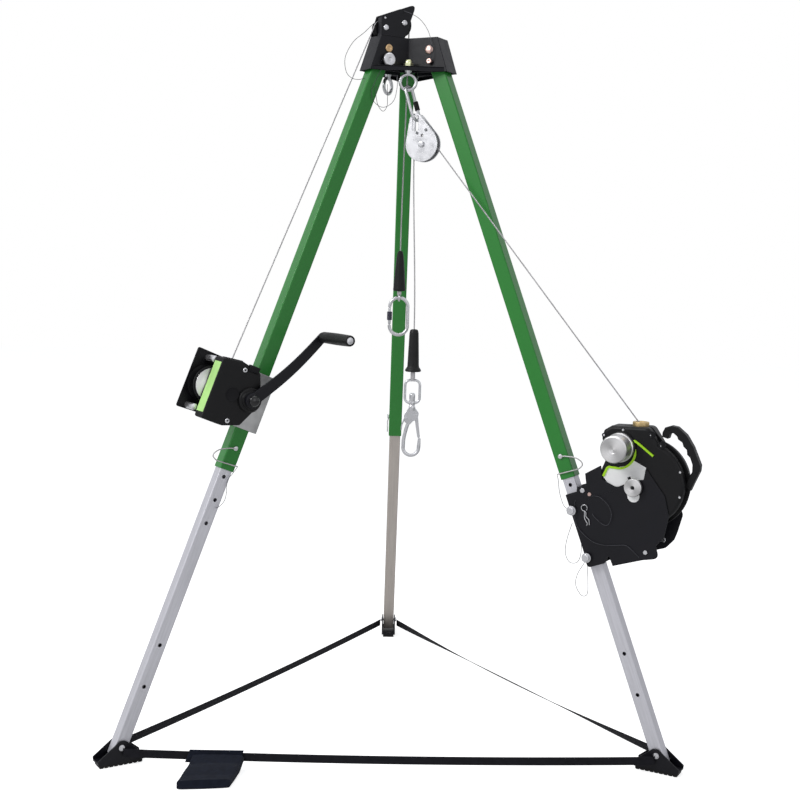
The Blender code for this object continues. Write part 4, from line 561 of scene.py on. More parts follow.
def bar(name, points, radius, base, material, sides=16, closed=False):
    """A round bar along a line of points. radius may be one value or one for each point."""
    points = [Vector(point) for point in points]
    count = len(points)
    radii = radius if isinstance(radius, list) else [radius] * count
    shape = bmesh.new()
    rings, runs, side, run = [], [], None, 0.0
    for index, point in enumerate(points):
        before = points[index - 1] if closed or index else point
        after = points[(index + 1) % count] if closed or index < count - 1 else point
        along = (after - before).normalized()
        side = side or along.orthogonal()
        side = (side - along * side.dot(along)).normalized()
        other = along.cross(side)
        run += (point - points[index - 1]).length if index else 0.0
        runs.append(run)
        ring = []
        for step in range(sides):
            angle = 2 * math.pi * step / sides
            spot = point + (side * math.cos(angle) + other * math.sin(angle)) * radii[index]
            ring.append(shape.verts.new(base @ spot))
        rings.append(ring)
    runs.append(run + 0.001)
    skin(shape, rings, lambda row, step: (step / sides * 2 * math.pi * radii[row % count], runs[row]),
        closed)
    return finish_mesh(name, shape, material, 50.0)


def arc(centre, radius, start, end, steps):
    """Points on part of a circle, angles in degrees."""
    made = []
    for step in range(steps + 1):
        angle = math.radians(start + (end - start) * step / steps)
        made.append((centre[0] + radius * math.cos(angle), centre[1] + radius * math.sin(angle)))
    return made


def circle(x, z, radius, steps=40):
    return arc((x, z), radius, 0, 360 - 360 / steps, steps - 1)


def ring_route(radius, height, steps):
    """Points of a ring in the (y, z) plane."""
    turns = [2 * math.pi * step / steps for step in range(steps)]
    return [(0.0, radius * math.sin(turn), height + radius * math.cos(turn)) for turn in turns]


def rounded(corners, steps=7):
    """Replace each (x, z, radius) corner by an arc."""
    outline = []
    for index, (x, z, radius) in enumerate(corners):
        here = Vector((x, z))
        if radius == 0.0:
            outline.append((x, z))
            continue
        back = Vector(corners[index - 1][:2]) - here
        ahead = Vector(corners[(index + 1) % len(corners)][:2]) - here
        half = back.angle(ahead) / 2
        reach = min(radius / math.tan(half), back.length * 0.49, ahead.length * 0.49)
        start, end = here + back.normalized() * reach, here + ahead.normalized() * reach
        for step in range(steps + 1):
            share = step / steps
            point = (1 - share) ** 2 * start + 2 * share * (1 - share) * here + share ** 2 * end
            outline.append((point.x, point.y))
    return outline


def sharp(points):
    return [(x, z, 0.0) for x, z in points]


def shrink(outline, inset):
    """Move every side of an outline inwards. Sides too short for that close up to a point."""
    count = len(outline)
    area = sum(a[0] * b[1] - b[0] * a[1] for a, b in zip(outline, outline[1:] + outline[:1]))
    turn = 1.0 if area > 0 else -1.0
    moved = []
    for index, here in enumerate(outline):
        before = (Vector(here) - Vector(outline[index - 1])).normalized()
        after = (Vector(outline[(index + 1) % count]) - Vector(here)).normalized()
        middle = (before + after).normalized()
        normal = Vector((-middle.y, middle.x)) * turn
        reach = inset / max(middle.dot(before), 0.35)
        moved.append(Vector(here) + normal * reach)
    for _ in range(8):
        for index in range(count):
            after = (index + 1) % count
            side = Vector(outline[after]) - Vector(outline[index])
            if (moved[after] - moved[index]).dot(side) < 0.0:
                middle = (moved[index] + moved[after]) / 2
                moved[index], moved[after] = middle, middle.copy()
    return [tuple(point) for point in moved]


def slab(name, outline, low, high, base, material, edge=0.0006, holes=(), segments=2):
    """Plate cut to an (x, z) outline, between two depths along Y, with broken edges."""
    if holes:
        return pierced(name, outline, low, high, base, material, edge, holes)
    outline = [point for index, point in enumerate(outline)
        if (Vector(point) - Vector(outline[index - 1])).length > 1e-5]
    steps = segments if edge else 0
    rows = []
    for step in range(steps + 1):
        angle = math.pi / 2 * step / max(1, steps)
        rows.append((edge * (1 - math.sin(angle)), edge * (1 - math.cos(angle))))
    levels = [(inset, low + depth) for inset, depth in rows]
    levels += [(inset, high - depth) for inset, depth in rows[::-1]]
    shape = bmesh.new()
    loops = []
    for inset, depth in levels:
        points = shrink(outline, inset) if inset else outline
        loops.append([shape.verts.new(base @ Vector((x, depth, z))) for x, z in points])
    skin(shape, loops)
    made = finish_mesh(name, shape, material, 50.0 if edge else 30.0)
    made.modifiers.new("flat", "WEIGHTED_NORMAL").keep_sharp = True
    return settle(made)


def pierced(name, outline, low, high, base, material, edge, holes):
    """The same with holes: a filled curve, whose flat faces are made whole before the bevel."""
    flat = bpy.data.curves.new(name, "CURVE")
    flat.dimensions = "2D"
    flat.fill_mode = "BOTH"
    flat.extrude = (high - low) / 2
    for loop in [outline, *holes]:
        spline = flat.splines.new("POLY")
        spline.points.add(len(loop) - 1)
        spline.use_cyclic_u = True
        for target, (x, z) in zip(spline.points, loop):
            target.co = (x, z, 0.0, 1.0)
    mesh = baked(placed(name, flat))
    turn = axes_frame(Vector((0, (low + high) / 2, 0)), Vector((1, 0, 0)), Vector((0, 0, 1)),
        Vector((0, -1, 0)))
    shape = bmesh.new()
    shape.from_mesh(mesh)
    bmesh.ops.remove_doubles(shape, verts=shape.verts, dist=1e-6)
    bmesh.ops.dissolve_limit(shape, angle_limit=math.radians(1.0), verts=shape.verts, edges=shape.edges)
    bmesh.ops.transform(shape, matrix=base @ turn, verts=shape.verts)
    return bevelled(finish_mesh(name, shape, material, 30.0), edge, 2)


def ribbon(route, width):
    """The outline of a strip of even width that follows an (x, z) route."""
    sides = ([], [])
    for index, point in enumerate(route):
        along = Vector(route[min(index + 1, len(route) - 1)]) - Vector(route[max(index - 1, 0)])
        across = Vector((-along.y, along.x)).normalized() * width / 2
        sides[0].append(tuple(Vector(point) + across))
        sides[1].append(tuple(Vector(point) - across))
    return sides[0] + sides[1][::-1]


def leaned(piece, base, beyond, shift, low, high):
    """Draw in the side of a moulding beyond a place on x, more and more towards its face."""
    back = base.inverted()
    for vertex in piece.data.vertices:
        spot = back @ vertex.co
        if spot.x > beyond:
            spot.x -= shift * (spot.y - low) / (high - low)
            vertex.co = base @ spot
    return piece


def square_loop(width, radius, steps=6):
    half = width / 2
    return rounded([(-half, -half, radius), (half, -half, radius), (half, half, radius),
        (-half, half, radius)], steps)


def tube(name, outer, wall, low, high, base, material, radius=0.004):
    """A drawn square tube with its own UV map: x round the tube and y along it, in metres."""
    shape = bmesh.new()
    lip = 0.0006
    loops = []
    for width, corner, height in ((outer, radius, low + lip), (outer, radius, high - lip),
            (outer - 2 * lip, radius - lip, high), (outer - 2 * wall, radius * 0.5, high),
            (outer - 2 * wall, radius * 0.5, low), (outer - 2 * lip, radius - lip, low)):
        ring = [Vector((x, y, height)) for x, y in square_loop(width, corner)]
        loops.append([shape.verts.new(base @ spot) for spot in ring])
    heights = (low, high, high, high, low, low)
    pitch = 4 * outer / len(loops[0])
    skin(shape, loops, lambda row, step: (step * pitch, heights[row % 6]), True)
    return finish_mesh(name, shape, material, 30.0)


def drilled(piece, drills):
    """Cut round holes: each is (radius, frame, low, high) along the frame's Z."""
    cutters = []
    for radius, base, low, high in drills:
        cutter = solid("drill", [(radius, low), (radius, high)], base, piece.data.materials[0], 24, 0)
        hole = piece.modifiers.new("hole", "BOOLEAN")
        hole.operation = "DIFFERENCE"
        hole.solver = "EXACT"
        hole.object = cutter
        cutters.append(cutter)
    piece.modifiers.new("flat", "WEIGHTED_NORMAL").keep_sharp = True
    settle(piece)
    for cutter in cutters:
        bpy.data.objects.remove(cutter, do_unlink=True)
    return piece


# %% [markdown]
# ## Ropes that are laid from strands
#
# A wire rope is six strands round a core. The rule is simple: each strand is the rope's own line,
# pushed out by the strand's radius and turned evenly along the way. That is a job for Geometry Nodes:
# the tree takes the line and the rope's sizes, and gives every strand at once.

# %% The rope tree
def tree_with(name, **sockets):
    """A geometry tree with named inputs, and the identifier of each."""
    tree = bpy.data.node_groups.new(name, "GeometryNodeTree")
    tree.interface.new_socket("Geometry", in_out="INPUT", socket_type="NodeSocketGeometry")
    made = {}
    for label, kind in sockets.items():
        socket = tree.interface.new_socket(label, in_out="INPUT", socket_type="NodeSocket" + kind)
        made[label] = socket.identifier
    tree.interface.new_socket("Geometry", in_out="OUTPUT", socket_type="NodeSocketGeometry")
    return tree, made, tree.nodes.new("NodeGroupInput").outputs


def end_tree(tree, geometry, finish, smooth):
    """Make instances real, shade them and give them their finish."""
    real = node(tree, "GeometryNodeRealizeInstances", {"Geometry": geometry}).outputs["Geometry"]
    if smooth:
        real = node(tree, "GeometryNodeSetShadeSmooth", {"Geometry": real}).outputs["Geometry"]
    painted = node(tree, "GeometryNodeSetMaterial", {"Geometry": real, "Material": finish})
    node(tree, "NodeGroupOutput", {"Geometry": painted.outputs["Geometry"]})


def rope_tree():
    tree, made, given = tree_with("laid_rope", Strands="Int", Radius="Float", Lay="Float",
        Spacing="Float", Finish="Material")
    even = node(tree, "GeometryNodeResampleCurve", {"Curve": given["Geometry"],
        "Length": given["Spacing"]}, mode="LENGTH")
    core = node(tree, "GeometryNodeSetCurveNormal", {"Curve": even.outputs["Curve"]},
        mode="MINIMUM_TWIST").outputs["Curve"]
    many = node(tree, "GeometryNodeDuplicateElements", {"Geometry": core, "Amount": given["Strands"]},
        domain="SPLINE").outputs
    reach = maths(tree, "MULTIPLY", given["Radius"], 2.0 / 3.0)
    thin = maths(tree, "MULTIPLY", given["Radius"], 1.0 / 3.0)
    length = node(tree, "GeometryNodeSplineParameter").outputs["Length"]
    turns = maths(tree, "ADD", maths(tree, "DIVIDE", length, given["Lay"]),
        maths(tree, "DIVIDE", many["Duplicate Index"], given["Strands"]))
    angle = maths(tree, "MULTIPLY", turns, 2 * math.pi)
    normal = node(tree, "GeometryNodeInputNormal").outputs["Normal"]
    along = node(tree, "GeometryNodeInputTangent").outputs["Tangent"]
    other = node(tree, "ShaderNodeVectorMath", {0: along, 1: normal}, operation="CROSS_PRODUCT")
    parts = []
    for wave, side in (("COSINE", normal), ("SINE", other.outputs["Vector"])):
        inputs = {0: side, "Scale": maths(tree, "MULTIPLY", maths(tree, wave, angle), reach)}
        parts.append(node(tree, "ShaderNodeVectorMath", inputs, operation="SCALE").outputs["Vector"])
    offset = node(tree, "ShaderNodeVectorMath", dict(enumerate(parts)), operation="ADD")
    strands = node(tree, "GeometryNodeSetPosition", {"Geometry": many["Geometry"],
        "Offset": offset.outputs["Vector"]})
    bundle = node(tree, "GeometryNodeJoinGeometry")
    for line in (strands.outputs["Geometry"], core):
        ring = node(tree, "GeometryNodeCurvePrimitiveCircle", {"Resolution": 6, "Radius": thin})
        wire = node(tree, "GeometryNodeCurveToMesh", {"Curve": line,
            "Profile Curve": ring.outputs["Curve"], "Fill Caps": True})
        feed(tree, bundle, {"Geometry": wire.outputs["Mesh"]})
    end_tree(tree, bundle.outputs["Geometry"], given["Finish"], True)
    return tree, made


def grown(name, points, tree, sockets, **values):
    """Run a tree on a line of points, and keep what it grows as a plain mesh."""
    line = bpy.data.curves.new(name, "CURVE")
    line.dimensions = "3D"
    spline = line.splines.new("POLY")
    spline.points.add(len(points) - 1)
    for target, point in zip(spline.points, points):
        target.co = (*point, 1.0)
    holder = placed(name, line)
    step = holder.modifiers.new(name, "NODES")
    step.node_group = tree
    for label, value in values.items():
        step[sockets[label]] = value
    return placed(name, baked(holder))


ROPE_TREE = rope_tree()


def laid_rope(name, points, diameter, material, lay=7.0, spacing=0.004):
    """A rope of six strands and a core along a line of points."""
    made = grown(name, points, *ROPE_TREE, Strands=6, Radius=diameter / 2, Lay=diameter * lay,
        Spacing=spacing, Finish=material)
    print("rope", name, "faces", len(made.data.polygons))
    return made


def measured(points):
    return sum((second - first).length for first, second in zip(points, points[1:]))


# %% [markdown]
# ## The two ropes
#
# The winch rope leaves the drum, runs up beside the leg, passes over two sheaves and hangs down the
# middle. The retrieval rope goes from the unit up to the snatch block and down to the snap hook. Both
# are taut, so their lines are straight runs and arcs of the sheaves.

# %% Lines of the winch rope
def rope_line():
    """Where the rope leaves the drum and where it meets the outer sheave, in the leg's plane."""
    drum = Vector((DRUM_PLACE[0], -DRUM_PLACE[1]))
    point = LEFT_LEG.inverted() @ (LEFT_HEAD @ Vector((SHEAVE_OUT[0], 0.0, SHEAVE_OUT[1])))
    sheave = Vector((point.x, point.z))
    between = sheave - drum
    near = DRUM_CORE + GAP + ROPE / 2
    far = SHEAVE_OUT[2]
    tilt = math.asin((near + far) / between.length)
    along = between.normalized()
    side = Vector((-along.y, along.x))
    normal = side * math.cos(tilt) + along * math.sin(tilt)
    return drum + normal * near, sheave - normal * far, drum


def drum_line(windings=7, per_turn=48):
    start, goal, drum = rope_line()
    reach = (start - drum).length
    margin = ROPE / 2 + 0.0008
    low, high = DRUM_SPAN
    pitch = (high - low - 2 * margin) / windings
    first = math.atan2(start.y - drum.y, start.x - drum.x)
    steps = windings * per_turn
    points = []
    for step in range(steps + 1):
        angle = first + 2 * math.pi * (steps - step) / per_turn
        across = low + margin + pitch * step / per_turn
        points.append(LEFT_LEG @ Vector((drum.x + reach * math.cos(angle), across,
            drum.y + reach * math.sin(angle))))
    tail = (goal - start).normalized()
    for travel in (0.01, 0.02):
        point = start + tail * travel
        points.append(LEFT_LEG @ Vector((point.x, high - margin, point.y)))
    return points


def straight(start, end, count):
    return [start.lerp(end, step / count) for step in range(count + 1)]


DRUM_LINE = drum_line()
_, SHEAVE_TOUCH, _ = rope_line()
TOUCH = LEFT_LEG @ Vector((SHEAVE_TOUCH.x, 0.0, SHEAVE_TOUCH.y))
RUN_DIRECTION = (TOUCH - DRUM_LINE[-1]).normalized()
RUN_LINE = straight(DRUM_LINE[-1] + RUN_DIRECTION * GAP, TOUCH - RUN_DIRECTION * GAP, 16)


def eased(start, end):
    """A hanging run: its height goes evenly, and it leaves and meets its ends upright."""
    points = []
    for step in range(17):
        share = step / 16
        ease = share * share * (3 - 2 * share)
        points.append(Vector((start.x + (end.x - start.x) * ease, start.y + (end.y - start.y) * ease,
            start.z + (end.z - start.z) * share)))
    return points


def hanging_line():
    """Over both sheaves and down to the bumper."""
    local = LEFT_HEAD.inverted() @ TOUCH
    first = math.atan2(local.z - SHEAVE_OUT[1], local.x - SHEAVE_OUT[0])
    middle = Vector((SHEAVE_IN[0] - SHEAVE_OUT[0], SHEAVE_IN[1] - SHEAVE_OUT[1]))
    lean = math.asin((SHEAVE_IN[2] - SHEAVE_OUT[2]) / middle.length)
    leave = math.atan2(middle.y, middle.x) - math.pi / 2 - lean
    points = []
    for place, begin, end in ((SHEAVE_OUT, first, leave), (SHEAVE_IN, leave, math.pi)):
        for step in range(17):
            angle = begin + (end - begin) * step / 16
            points.append(LEFT_HEAD @ Vector((place[0] + place[2] * math.cos(angle), 0.0,
                place[1] + place[2] * math.sin(angle))))
    return points + eased(points[-1], MIDDLE + Vector((CARABINER_X, 0.0, 1.557)))[1:]


# %% Lines of the retrieval rope
def collar_frame():
    origin = RIGHT_LEG @ Vector((COLLAR_PLACE[0], 0.0, -COLLAR_PLACE[1]))
    goal = block_frame() @ Vector((BLOCK_AXLE + BLOCK_ROPE * 0.77, 0.0,
        BLOCK_HEIGHT + BLOCK_ROPE * 0.63))
    aim = (goal - origin).normalized()
    side = RIGHT_LEG.to_3x3() @ Vector((0.0, 1.0, 0.0))
    side = (side - aim * side.dot(aim)).normalized()
    return axes_frame(origin, side.cross(aim), side, aim)


COLLAR = collar_frame()


def retrieval_line():
    block = block_frame()
    end = COLLAR @ Vector((0.0, 0.0, COLLAR_TOP + GAP + TAIL))
    local_end = block.inverted() @ end
    low = MIDDLE + Vector((HOOK_X, HOOK_Y, 1.3046))
    axle = Vector((BLOCK_AXLE, BLOCK_HEIGHT))
    left_touch = block @ Vector((BLOCK_AXLE - BLOCK_ROPE, 0.0, BLOCK_HEIGHT))
    points = eased(low, left_touch)[:-1]
    line = Vector((local_end.x, local_end.z)) - axle
    aim = math.atan2(line.y, line.x) + math.acos(BLOCK_ROPE / line.length)
    for step in range(17):
        angle = math.pi + (aim - math.pi) * step / 16
        points.append(block @ Vector((BLOCK_AXLE + BLOCK_ROPE * math.cos(angle), 0.0,
            BLOCK_HEIGHT + BLOCK_ROPE * math.sin(angle))))
    return points + straight(points[-1], end, 12)[1:]


def declare_rope(name, points, body, node_name):
    """Lay a rope along its line, put it in place of its node and print its real length."""
    piece = fit(laid_rope(name, points, ROPE, ROPE_STEEL), body, "rope_steel", node_name)
    print(name, "length", round(measured(points), 4))


declare_rope("winch_rope_taut", RUN_LINE, "upper_leg_left", "winch_rope_run")
declare_rope("winch_rope_hanging", hanging_line(), "head", "winch_rope")
declare_rope("retrieval_rope", retrieval_line(), "head", "recovery_rope")
TAIL_LINE = straight(COLLAR @ Vector((0.0, 0.0, 0.002)), COLLAR @ Vector((0.0, 0.0,
    COLLAR_TOP + TAIL - 0.0003)), 8)
declare_rope("retrieval_rope_end", TAIL_LINE, "lower_leg_right", "recovery_rope_tail")
fit(laid_rope("rope_on_the_drum", DRUM_LINE, ROPE, ROPE_STEEL), "winch_drum", "rope_steel",
    "winch_drum_rope")

# %% [markdown]
# ## The telescopic legs
#
# Each leg is two square tubes. The wide one is painted and the narrow one is bare, with a row of
# holes for the adjusting pin. The holes are cut with a boolean, because a tube with real holes shows
# its wall thickness when seen at an angle.

# %% Small hardware: bolts, nuts and boxes
def nut(name, radius, low, high, base, material, turn=0.0):
    """A six-sided nut or bolt head with its corners taken off."""
    cut = radius * 0.13
    profile = [(0.0, low), (radius, low), (radius, high - cut), (radius - cut, high), (0.0, high)]
    turned = base @ Matrix.Rotation(turn, 4, "Z")
    return lathe(name, profile, turned, material, 6, 0.0)


def cap_screw(name, radius, low, high, base, material):
    """A round head whose key socket is a dark disc: painted shade at the bottom of the recess."""
    head = solid(name, [(radius, low), (radius, high - radius * 0.2), (radius * 0.8, high),
        (radius * 0.5, high), (radius * 0.45, high - 0.0015)], base, material, 24, 0.0002)
    # A dark six-sided disc at the bottom of the recess: painted shade in the key socket.
    socket = lathe("socket", [(0.0, -0.0014), (radius * 0.42, -0.0014), (0.0, -0.0012)], base,
        FRAME_BLACK, 6, 0.0, at=high)
    return joined(name, [head, socket])


def block(name, low, high, base, material, edge=0.0008):
    outline = [(low[0], low[2]), (high[0], low[2]), (high[0], high[2]), (low[0], high[2])]
    return slab(name, outline, low[1], high[1], base, material, edge)


# %% Tubes
# A darker, warmer copy of the silver is painted shade for the back leg's bare tube, which faces away
# from the lamps.
SILVER_WITH_PAINTED_SHADE = drawn("silver_tube_in_the_shade", (0.56, 0.51, 0.47), (0.34, 0.5), metallic=0.55)
for side, azimuth in LEGS.items():
    leg = leg_frame(azimuth)
    near = near_side(azimuth)
    upper = tube(f"leg_upper_tube_{side}", UPPER_TUBE, 0.003, -UPPER_LENGTH, 0.022, leg, GREEN, 0.005)
    drilled(upper, [(0.0054, side_axle(leg, 0.0, -PIN_PLACE, near), 0.018, 0.03)])
    fit(upper, f"upper_leg_{side}", "green_paint", f"leg_upper_{side}")
    # The back tube takes the silver with painted shade.
    finish = SILVER_WITH_PAINTED_SHADE if side == "back" else SILVER
    lower = tube(f"leg_lower_tube_{side}", LOWER_TUBE, 0.0025, -LEG_LENGTH - 0.03, 0.376 - UPPER_LENGTH,
        leg, finish, 0.0045)
    holes = [(0.0062, side_axle(leg, 0.0, -place), -0.04, 0.04) for place in HOLES]
    drilled(lower, holes)
    fit(lower, f"lower_leg_{side}", "silver_tube", f"leg_lower_{side}")
    print(side, "tubes", len(upper.data.polygons), len(lower.data.polygons))


# %% [markdown]
# The adjusting pin ends in a button that a wire bail holds down. The bail is one bent wire, so a bar
# along a smooth line describes it.

# %% Adjusting pins
def adjusting_pin(side, azimuth):
    leg, near, face = leg_frame(azimuth), near_side(azimuth), UPPER_TUBE / 2
    pin = lathe("pin", [(0.0, -0.0028), (0.005, -0.0028), (0.005, GAP), (0.0075, GAP), (0.0075, 0.0055),
        (0.0055, 0.0072), (0.0, 0.0075)], side_axle(leg, 0.0, -PIN_PLACE, near), ZINC, 24, at=face)
    stand = face + 0.0055
    route = [(0.0, stand, 0.0), (0.02, stand + 0.001, -0.005), (0.0474, stand - 0.001, -0.018),
        (0.06, stand - 0.004, -0.033), (0.062, stand - 0.003, -0.044), (0.054, stand, -0.0505),
        (0.0427, stand, -0.053), (0.0, stand, -0.0515), (-0.027, stand, -0.05)]
    line = smooth_line([(x, y * near, z - PIN_PLACE) for x, y, z in route], 0.004)
    bail = bar("bail", line, 0.002, leg, CAST, 10)
    return merged(f"adjusting_pin_and_bail_{side}", [pin, bail], f"upper_leg_{side}", "bright_steel",
        f"adjusting_pin_{side}")


for side, azimuth in LEGS.items():
    adjusting_pin(side, azimuth)


# %% [markdown]
# ## The feet
#
# A foot is a bent channel with pointed ears, on a rubber sole. Plates with broken edges read as bent
# steel, and the sole gets grooves across it so that it grips.

# %% Feet
def foot(side, azimuth):
    base = foot_frame(azimuth)
    floor = -FOOT_BOLT_HEIGHT
    outer = LOWER_TUBE / 2 + FOOT_WALL
    inner = outer - 0.004
    ear = rounded([(-0.07, floor + 0.011, 0.0), (0.07, floor + 0.011, 0.0),
        (0.072, floor + 0.024, 0.003), (0.004, 0.021, 0.016), (-0.012, 0.019, 0.014),
        (-0.072, floor + 0.026, 0.003)])
    pieces = []
    for low, high in ((inner, outer), (-outer, -inner)):
        pieces.append(slab("ear", ear, low, high, base, BLACK, 0.0008))
    pieces.append(block("base", (-0.0695, -outer + 0.0005, floor + 0.011),
        (0.0695, outer - 0.0005, floor + 0.016), base, BLACK, 0.001))
    sole = [(-0.066, floor + 0.0108), (0.066, floor + 0.0108)]
    grooves = 9
    for index in range(grooves):
        centre = 0.066 - 0.132 * (index + 0.5) / grooves
        half = 0.132 / grooves / 2
        sole += [(centre + half, floor + 0.003), (centre + half * 0.6, floor),
            (centre - half * 0.6, floor), (centre - half, floor + 0.003)]
    pieces.append(slab("sole", sole, -0.021, 0.021, base, RUBBER, 0.0))
    axle = side_axle(base, 0.0, 0.0)
    for towards in (1.0, -1.0):
        end = side_axle(base, 0.0, 0.0, towards)
        pieces.append(solid("washer", [(0.0092, 0.0), (0.0092, 0.0014)], end, ZINC, 24, 0.0003,
            at=outer))
        pieces.append(nut("head", 0.008, outer + 0.0012, outer + 0.0058, end, ZINC, 0.3))
    pieces.append(solid("shaft", [(0.005, -outer), (0.005, outer)], axle, ZINC, 20, 0.0))
    return merged(f"foot_channel_{side}", pieces, f"foot_{side}", "black_paint", f"foot_{side}")


for side, azimuth in LEGS.items():
    foot(side, azimuth)


# %% [markdown]
# ## The head
#
# Three folded sockets meet in the middle. Their walls lean with the legs, so the head is built as a
# ring of walls between two star outlines, one at the top edge and one at the bottom.

# %% Head shell
def walls(name, vertices, faces, base, material, edge):
    shape = bmesh.new()
    corners = [shape.verts.new(base @ Vector(vertex)) for vertex in vertices]
    for face in faces:
        shape.faces.new([corners[index] for index in face])
    return bevelled(finish_mesh(name, shape, material, 25.0), edge, 3, 25.0)


def socket_star(half, reach):
    corners = []
    for azimuth in sorted(LEGS.values()):
        corners.append(radial(azimuth) * reach - tangent(azimuth) * half)
        corners.append(radial(azimuth) * reach + tangent(azimuth) * half)
        corners.append(radial(azimuth + 60) * half / math.sin(math.pi / 3))
    return corners


def head_shell():
    slope = (SOCKET_BOTTOM - SOCKET_TOP) / (HEAD_TOP - HEAD_BOTTOM)
    wall = PLATE * math.hypot(1.0, slope)
    vertices, faces = [], []
    for height, reach in ((HEAD_BOTTOM, SOCKET_BOTTOM), (HEAD_TOP, SOCKET_TOP)):
        for half, back in ((HEAD_HALF, 0.0), (HEAD_HALF - PLATE, wall)):
            vertices += [corner + Vector((0.0, 0.0, height)) for corner in socket_star(half,
                reach - back)]
    for index in range(9):
        after = (index + 1) % 9
        for first, second in ((0, 18), (9, 27), (0, 9), (18, 27)):
            faces.append([first + index, first + after, second + after, second + index])
    return walls("shell", vertices, faces, head_frame(0.0), BLACK, 0.0017)


def bridge(azimuth):
    """The level plate between two sockets, with its turned-down lip."""
    reach, half = SOCKET_BOTTOM - 0.0075, HEAD_HALF - 0.002
    ends = []
    for side, turn in ((radial(-60), tangent(-60)), (radial(60), -tangent(60))):
        ends.append(side * reach + turn * half)
    inner = Vector((half / math.sin(math.pi / 3), 0.0, 0.0))
    back = Vector((PLATE, 0.0, 0.0))
    made = []
    for low, high, corners in ((BRIDGE[0], BRIDGE[1], [inner, ends[0], ends[1]]),
            (HEAD_BOTTOM, BRIDGE[1] - 0.0004, [ends[0], ends[1], ends[1] - back, ends[0] - back])):
        count = len(corners)
        vertices = [corner + Vector((0, 0, height)) for height in (low, high) for corner in corners]
        faces = [list(range(count)), list(range(count, 2 * count))]
        for index in range(count):
            after = (index + 1) % count
            faces.append([index, after, count + after, count + index])
        made.append(walls("bridge", vertices, faces, head_frame(azimuth + 60), BLACK, 0.0009))
    return made


# %% Pulley tower
def tower():
    inner, outer = HEAD_HALF - PLATE + 0.0002, HEAD_HALF - 0.0002
    low = HEAD_TOP - 0.01
    nose = [(-0.005, 0.1535, 0.013), (0.0385, low + 0.004, 0.0), (0.0385, low, 0.0)]
    front = rounded([(0.124, low, 0.0), (0.1252, 0.1005, 0.003)] + nose)
    rear = rounded([(0.124, low, 0.0), (0.1228, HEAD_TOP + 0.01, 0.0), (0.105, 0.1088, 0.003)] + nose)
    return [slab("front", front, inner, outer, LEFT_HEAD, BLACK, 0.0008),
        slab("rear", rear, -outer, -inner, LEFT_HEAD, BLACK, 0.0008)]


def weld_bead(name, points, radius, base, material):
    """A row of weld scales: a bar whose thickness pulses."""
    line = smooth_line(points, 0.0016)
    radii = [radius * (0.86 + 0.14 * math.sin(index * 1.9)) for index in range(len(line))]
    return bar(name, line, radii, base, material, 8)


head_pieces = [head_shell()] + tower()
head_pieces.append(block("flange", (0.1208, 0.013, HEAD_TOP - 0.01), (0.125, HEAD_HALF - 0.0004, 0.096),
    LEFT_HEAD, BLACK, 0.0012))
head_pieces.append(lathe("rivet", [(0.0, -0.001), (0.0038, -0.001), (0.0034, 0.0016), (0.0, 0.0024)],
    side_axle(LEFT_HEAD, 0.1123, 0.0945), ZINC, 24, at=HEAD_HALF))
for azimuth in LEGS.values():
    head_pieces += bridge(azimuth)
for y in (HEAD_HALF - 0.0006, -HEAD_HALF + 0.0006):
    head_pieces.append(weld_bead("weld", [(0.041, y, HEAD_TOP + 0.0002),
        (0.1225, y, HEAD_TOP + 0.0002)], 0.0016, LEFT_HEAD, BLACK))
head = joined("folded_head", head_pieces)
fit(head, "head", "black_paint", "head_frame")
print("head faces", len(head.data.polygons))


# %% [markdown]
# Bolts, pins and sheaves are all turned, so each is one profile. Gilt and bronzed bolt heads and
# yellow zinc nuts keep the hardware from looking like one batch.

# %% Head hardware
def pivot_bolt(side, azimuth):
    axle = side_axle(head_frame(azimuth), PIVOT_RADIUS, 0.0, near_side(azimuth))
    inner, outer = HEAD_HALF - PLATE - GAP, HEAD_HALF + GAP
    face = UPPER_TUBE / 2 + GAP
    shaft = solid("shaft", [(0.006, -outer - 0.001), (0.006, -inner), (0.013, -inner), (0.013, -face),
        (0.006, -face), (0.006, face), (0.013, face), (0.013, inner), (0.006, inner), (0.006, outer)],
        axle, ZINC, 32)
    back = side_axle(head_frame(azimuth), PIVOT_RADIUS, 0.0, -near_side(azimuth))
    far = nut("nut", 0.0105, outer, outer + 0.0088, back, ZINC, 0.2)
    if side == "right":
        cap = lathe("cap", [(0.0, 0.0), (0.0145, 0.0), (0.0145, 0.0018), (0.0125, 0.0046),
            (0.008, 0.0064), (0.0, 0.007)], axle, COPPER, 40, at=outer)
    else:
        cap = solid("cap", [(0.0125, 0.0), (0.0125, 0.003), (0.0108, 0.004), (0.006, 0.004),
            (0.0055, 0.0026)], axle, GILT, 40, at=outer)
    merged(f"leg_bolt_{side}", [shaft, far, cap], "head", "brass", f"pivot_bolt_{side}")


def lock_pin(side, azimuth):
    axle = side_axle(head_frame(azimuth), *LOCK_PLACE, near_side(azimuth))
    face = HEAD_HALF + GAP
    cap, length = (0.0212, 0.021) if side == "left" else (0.009, 0.012)
    finish = COPPER if side == "right" else ZINC
    pin = solid(f"pull_pin_{side}", [(0.0046, face - 0.0085), (0.005, face - 0.0075), (0.005, face),
        (cap * 0.72, face), (cap * 0.72, face + length * 0.15), (cap * 0.62, face + length * 0.22),
        (cap * 0.62, face + length * 0.42), (cap, face + length * 0.52), (cap, face + length * 0.88),
        (cap * 0.85, face + length), (cap * 0.3, face + length), (cap * 0.26, face + length - 0.0012)],
        axle, finish, 48, 0.0005)
    fit(pin, f"lock_pin_{side}", "bright_steel", f"lock_pin_{side}")


for side, azimuth in LEGS.items():
    pivot_bolt(side, azimuth)
    lock_pin(side, azimuth)


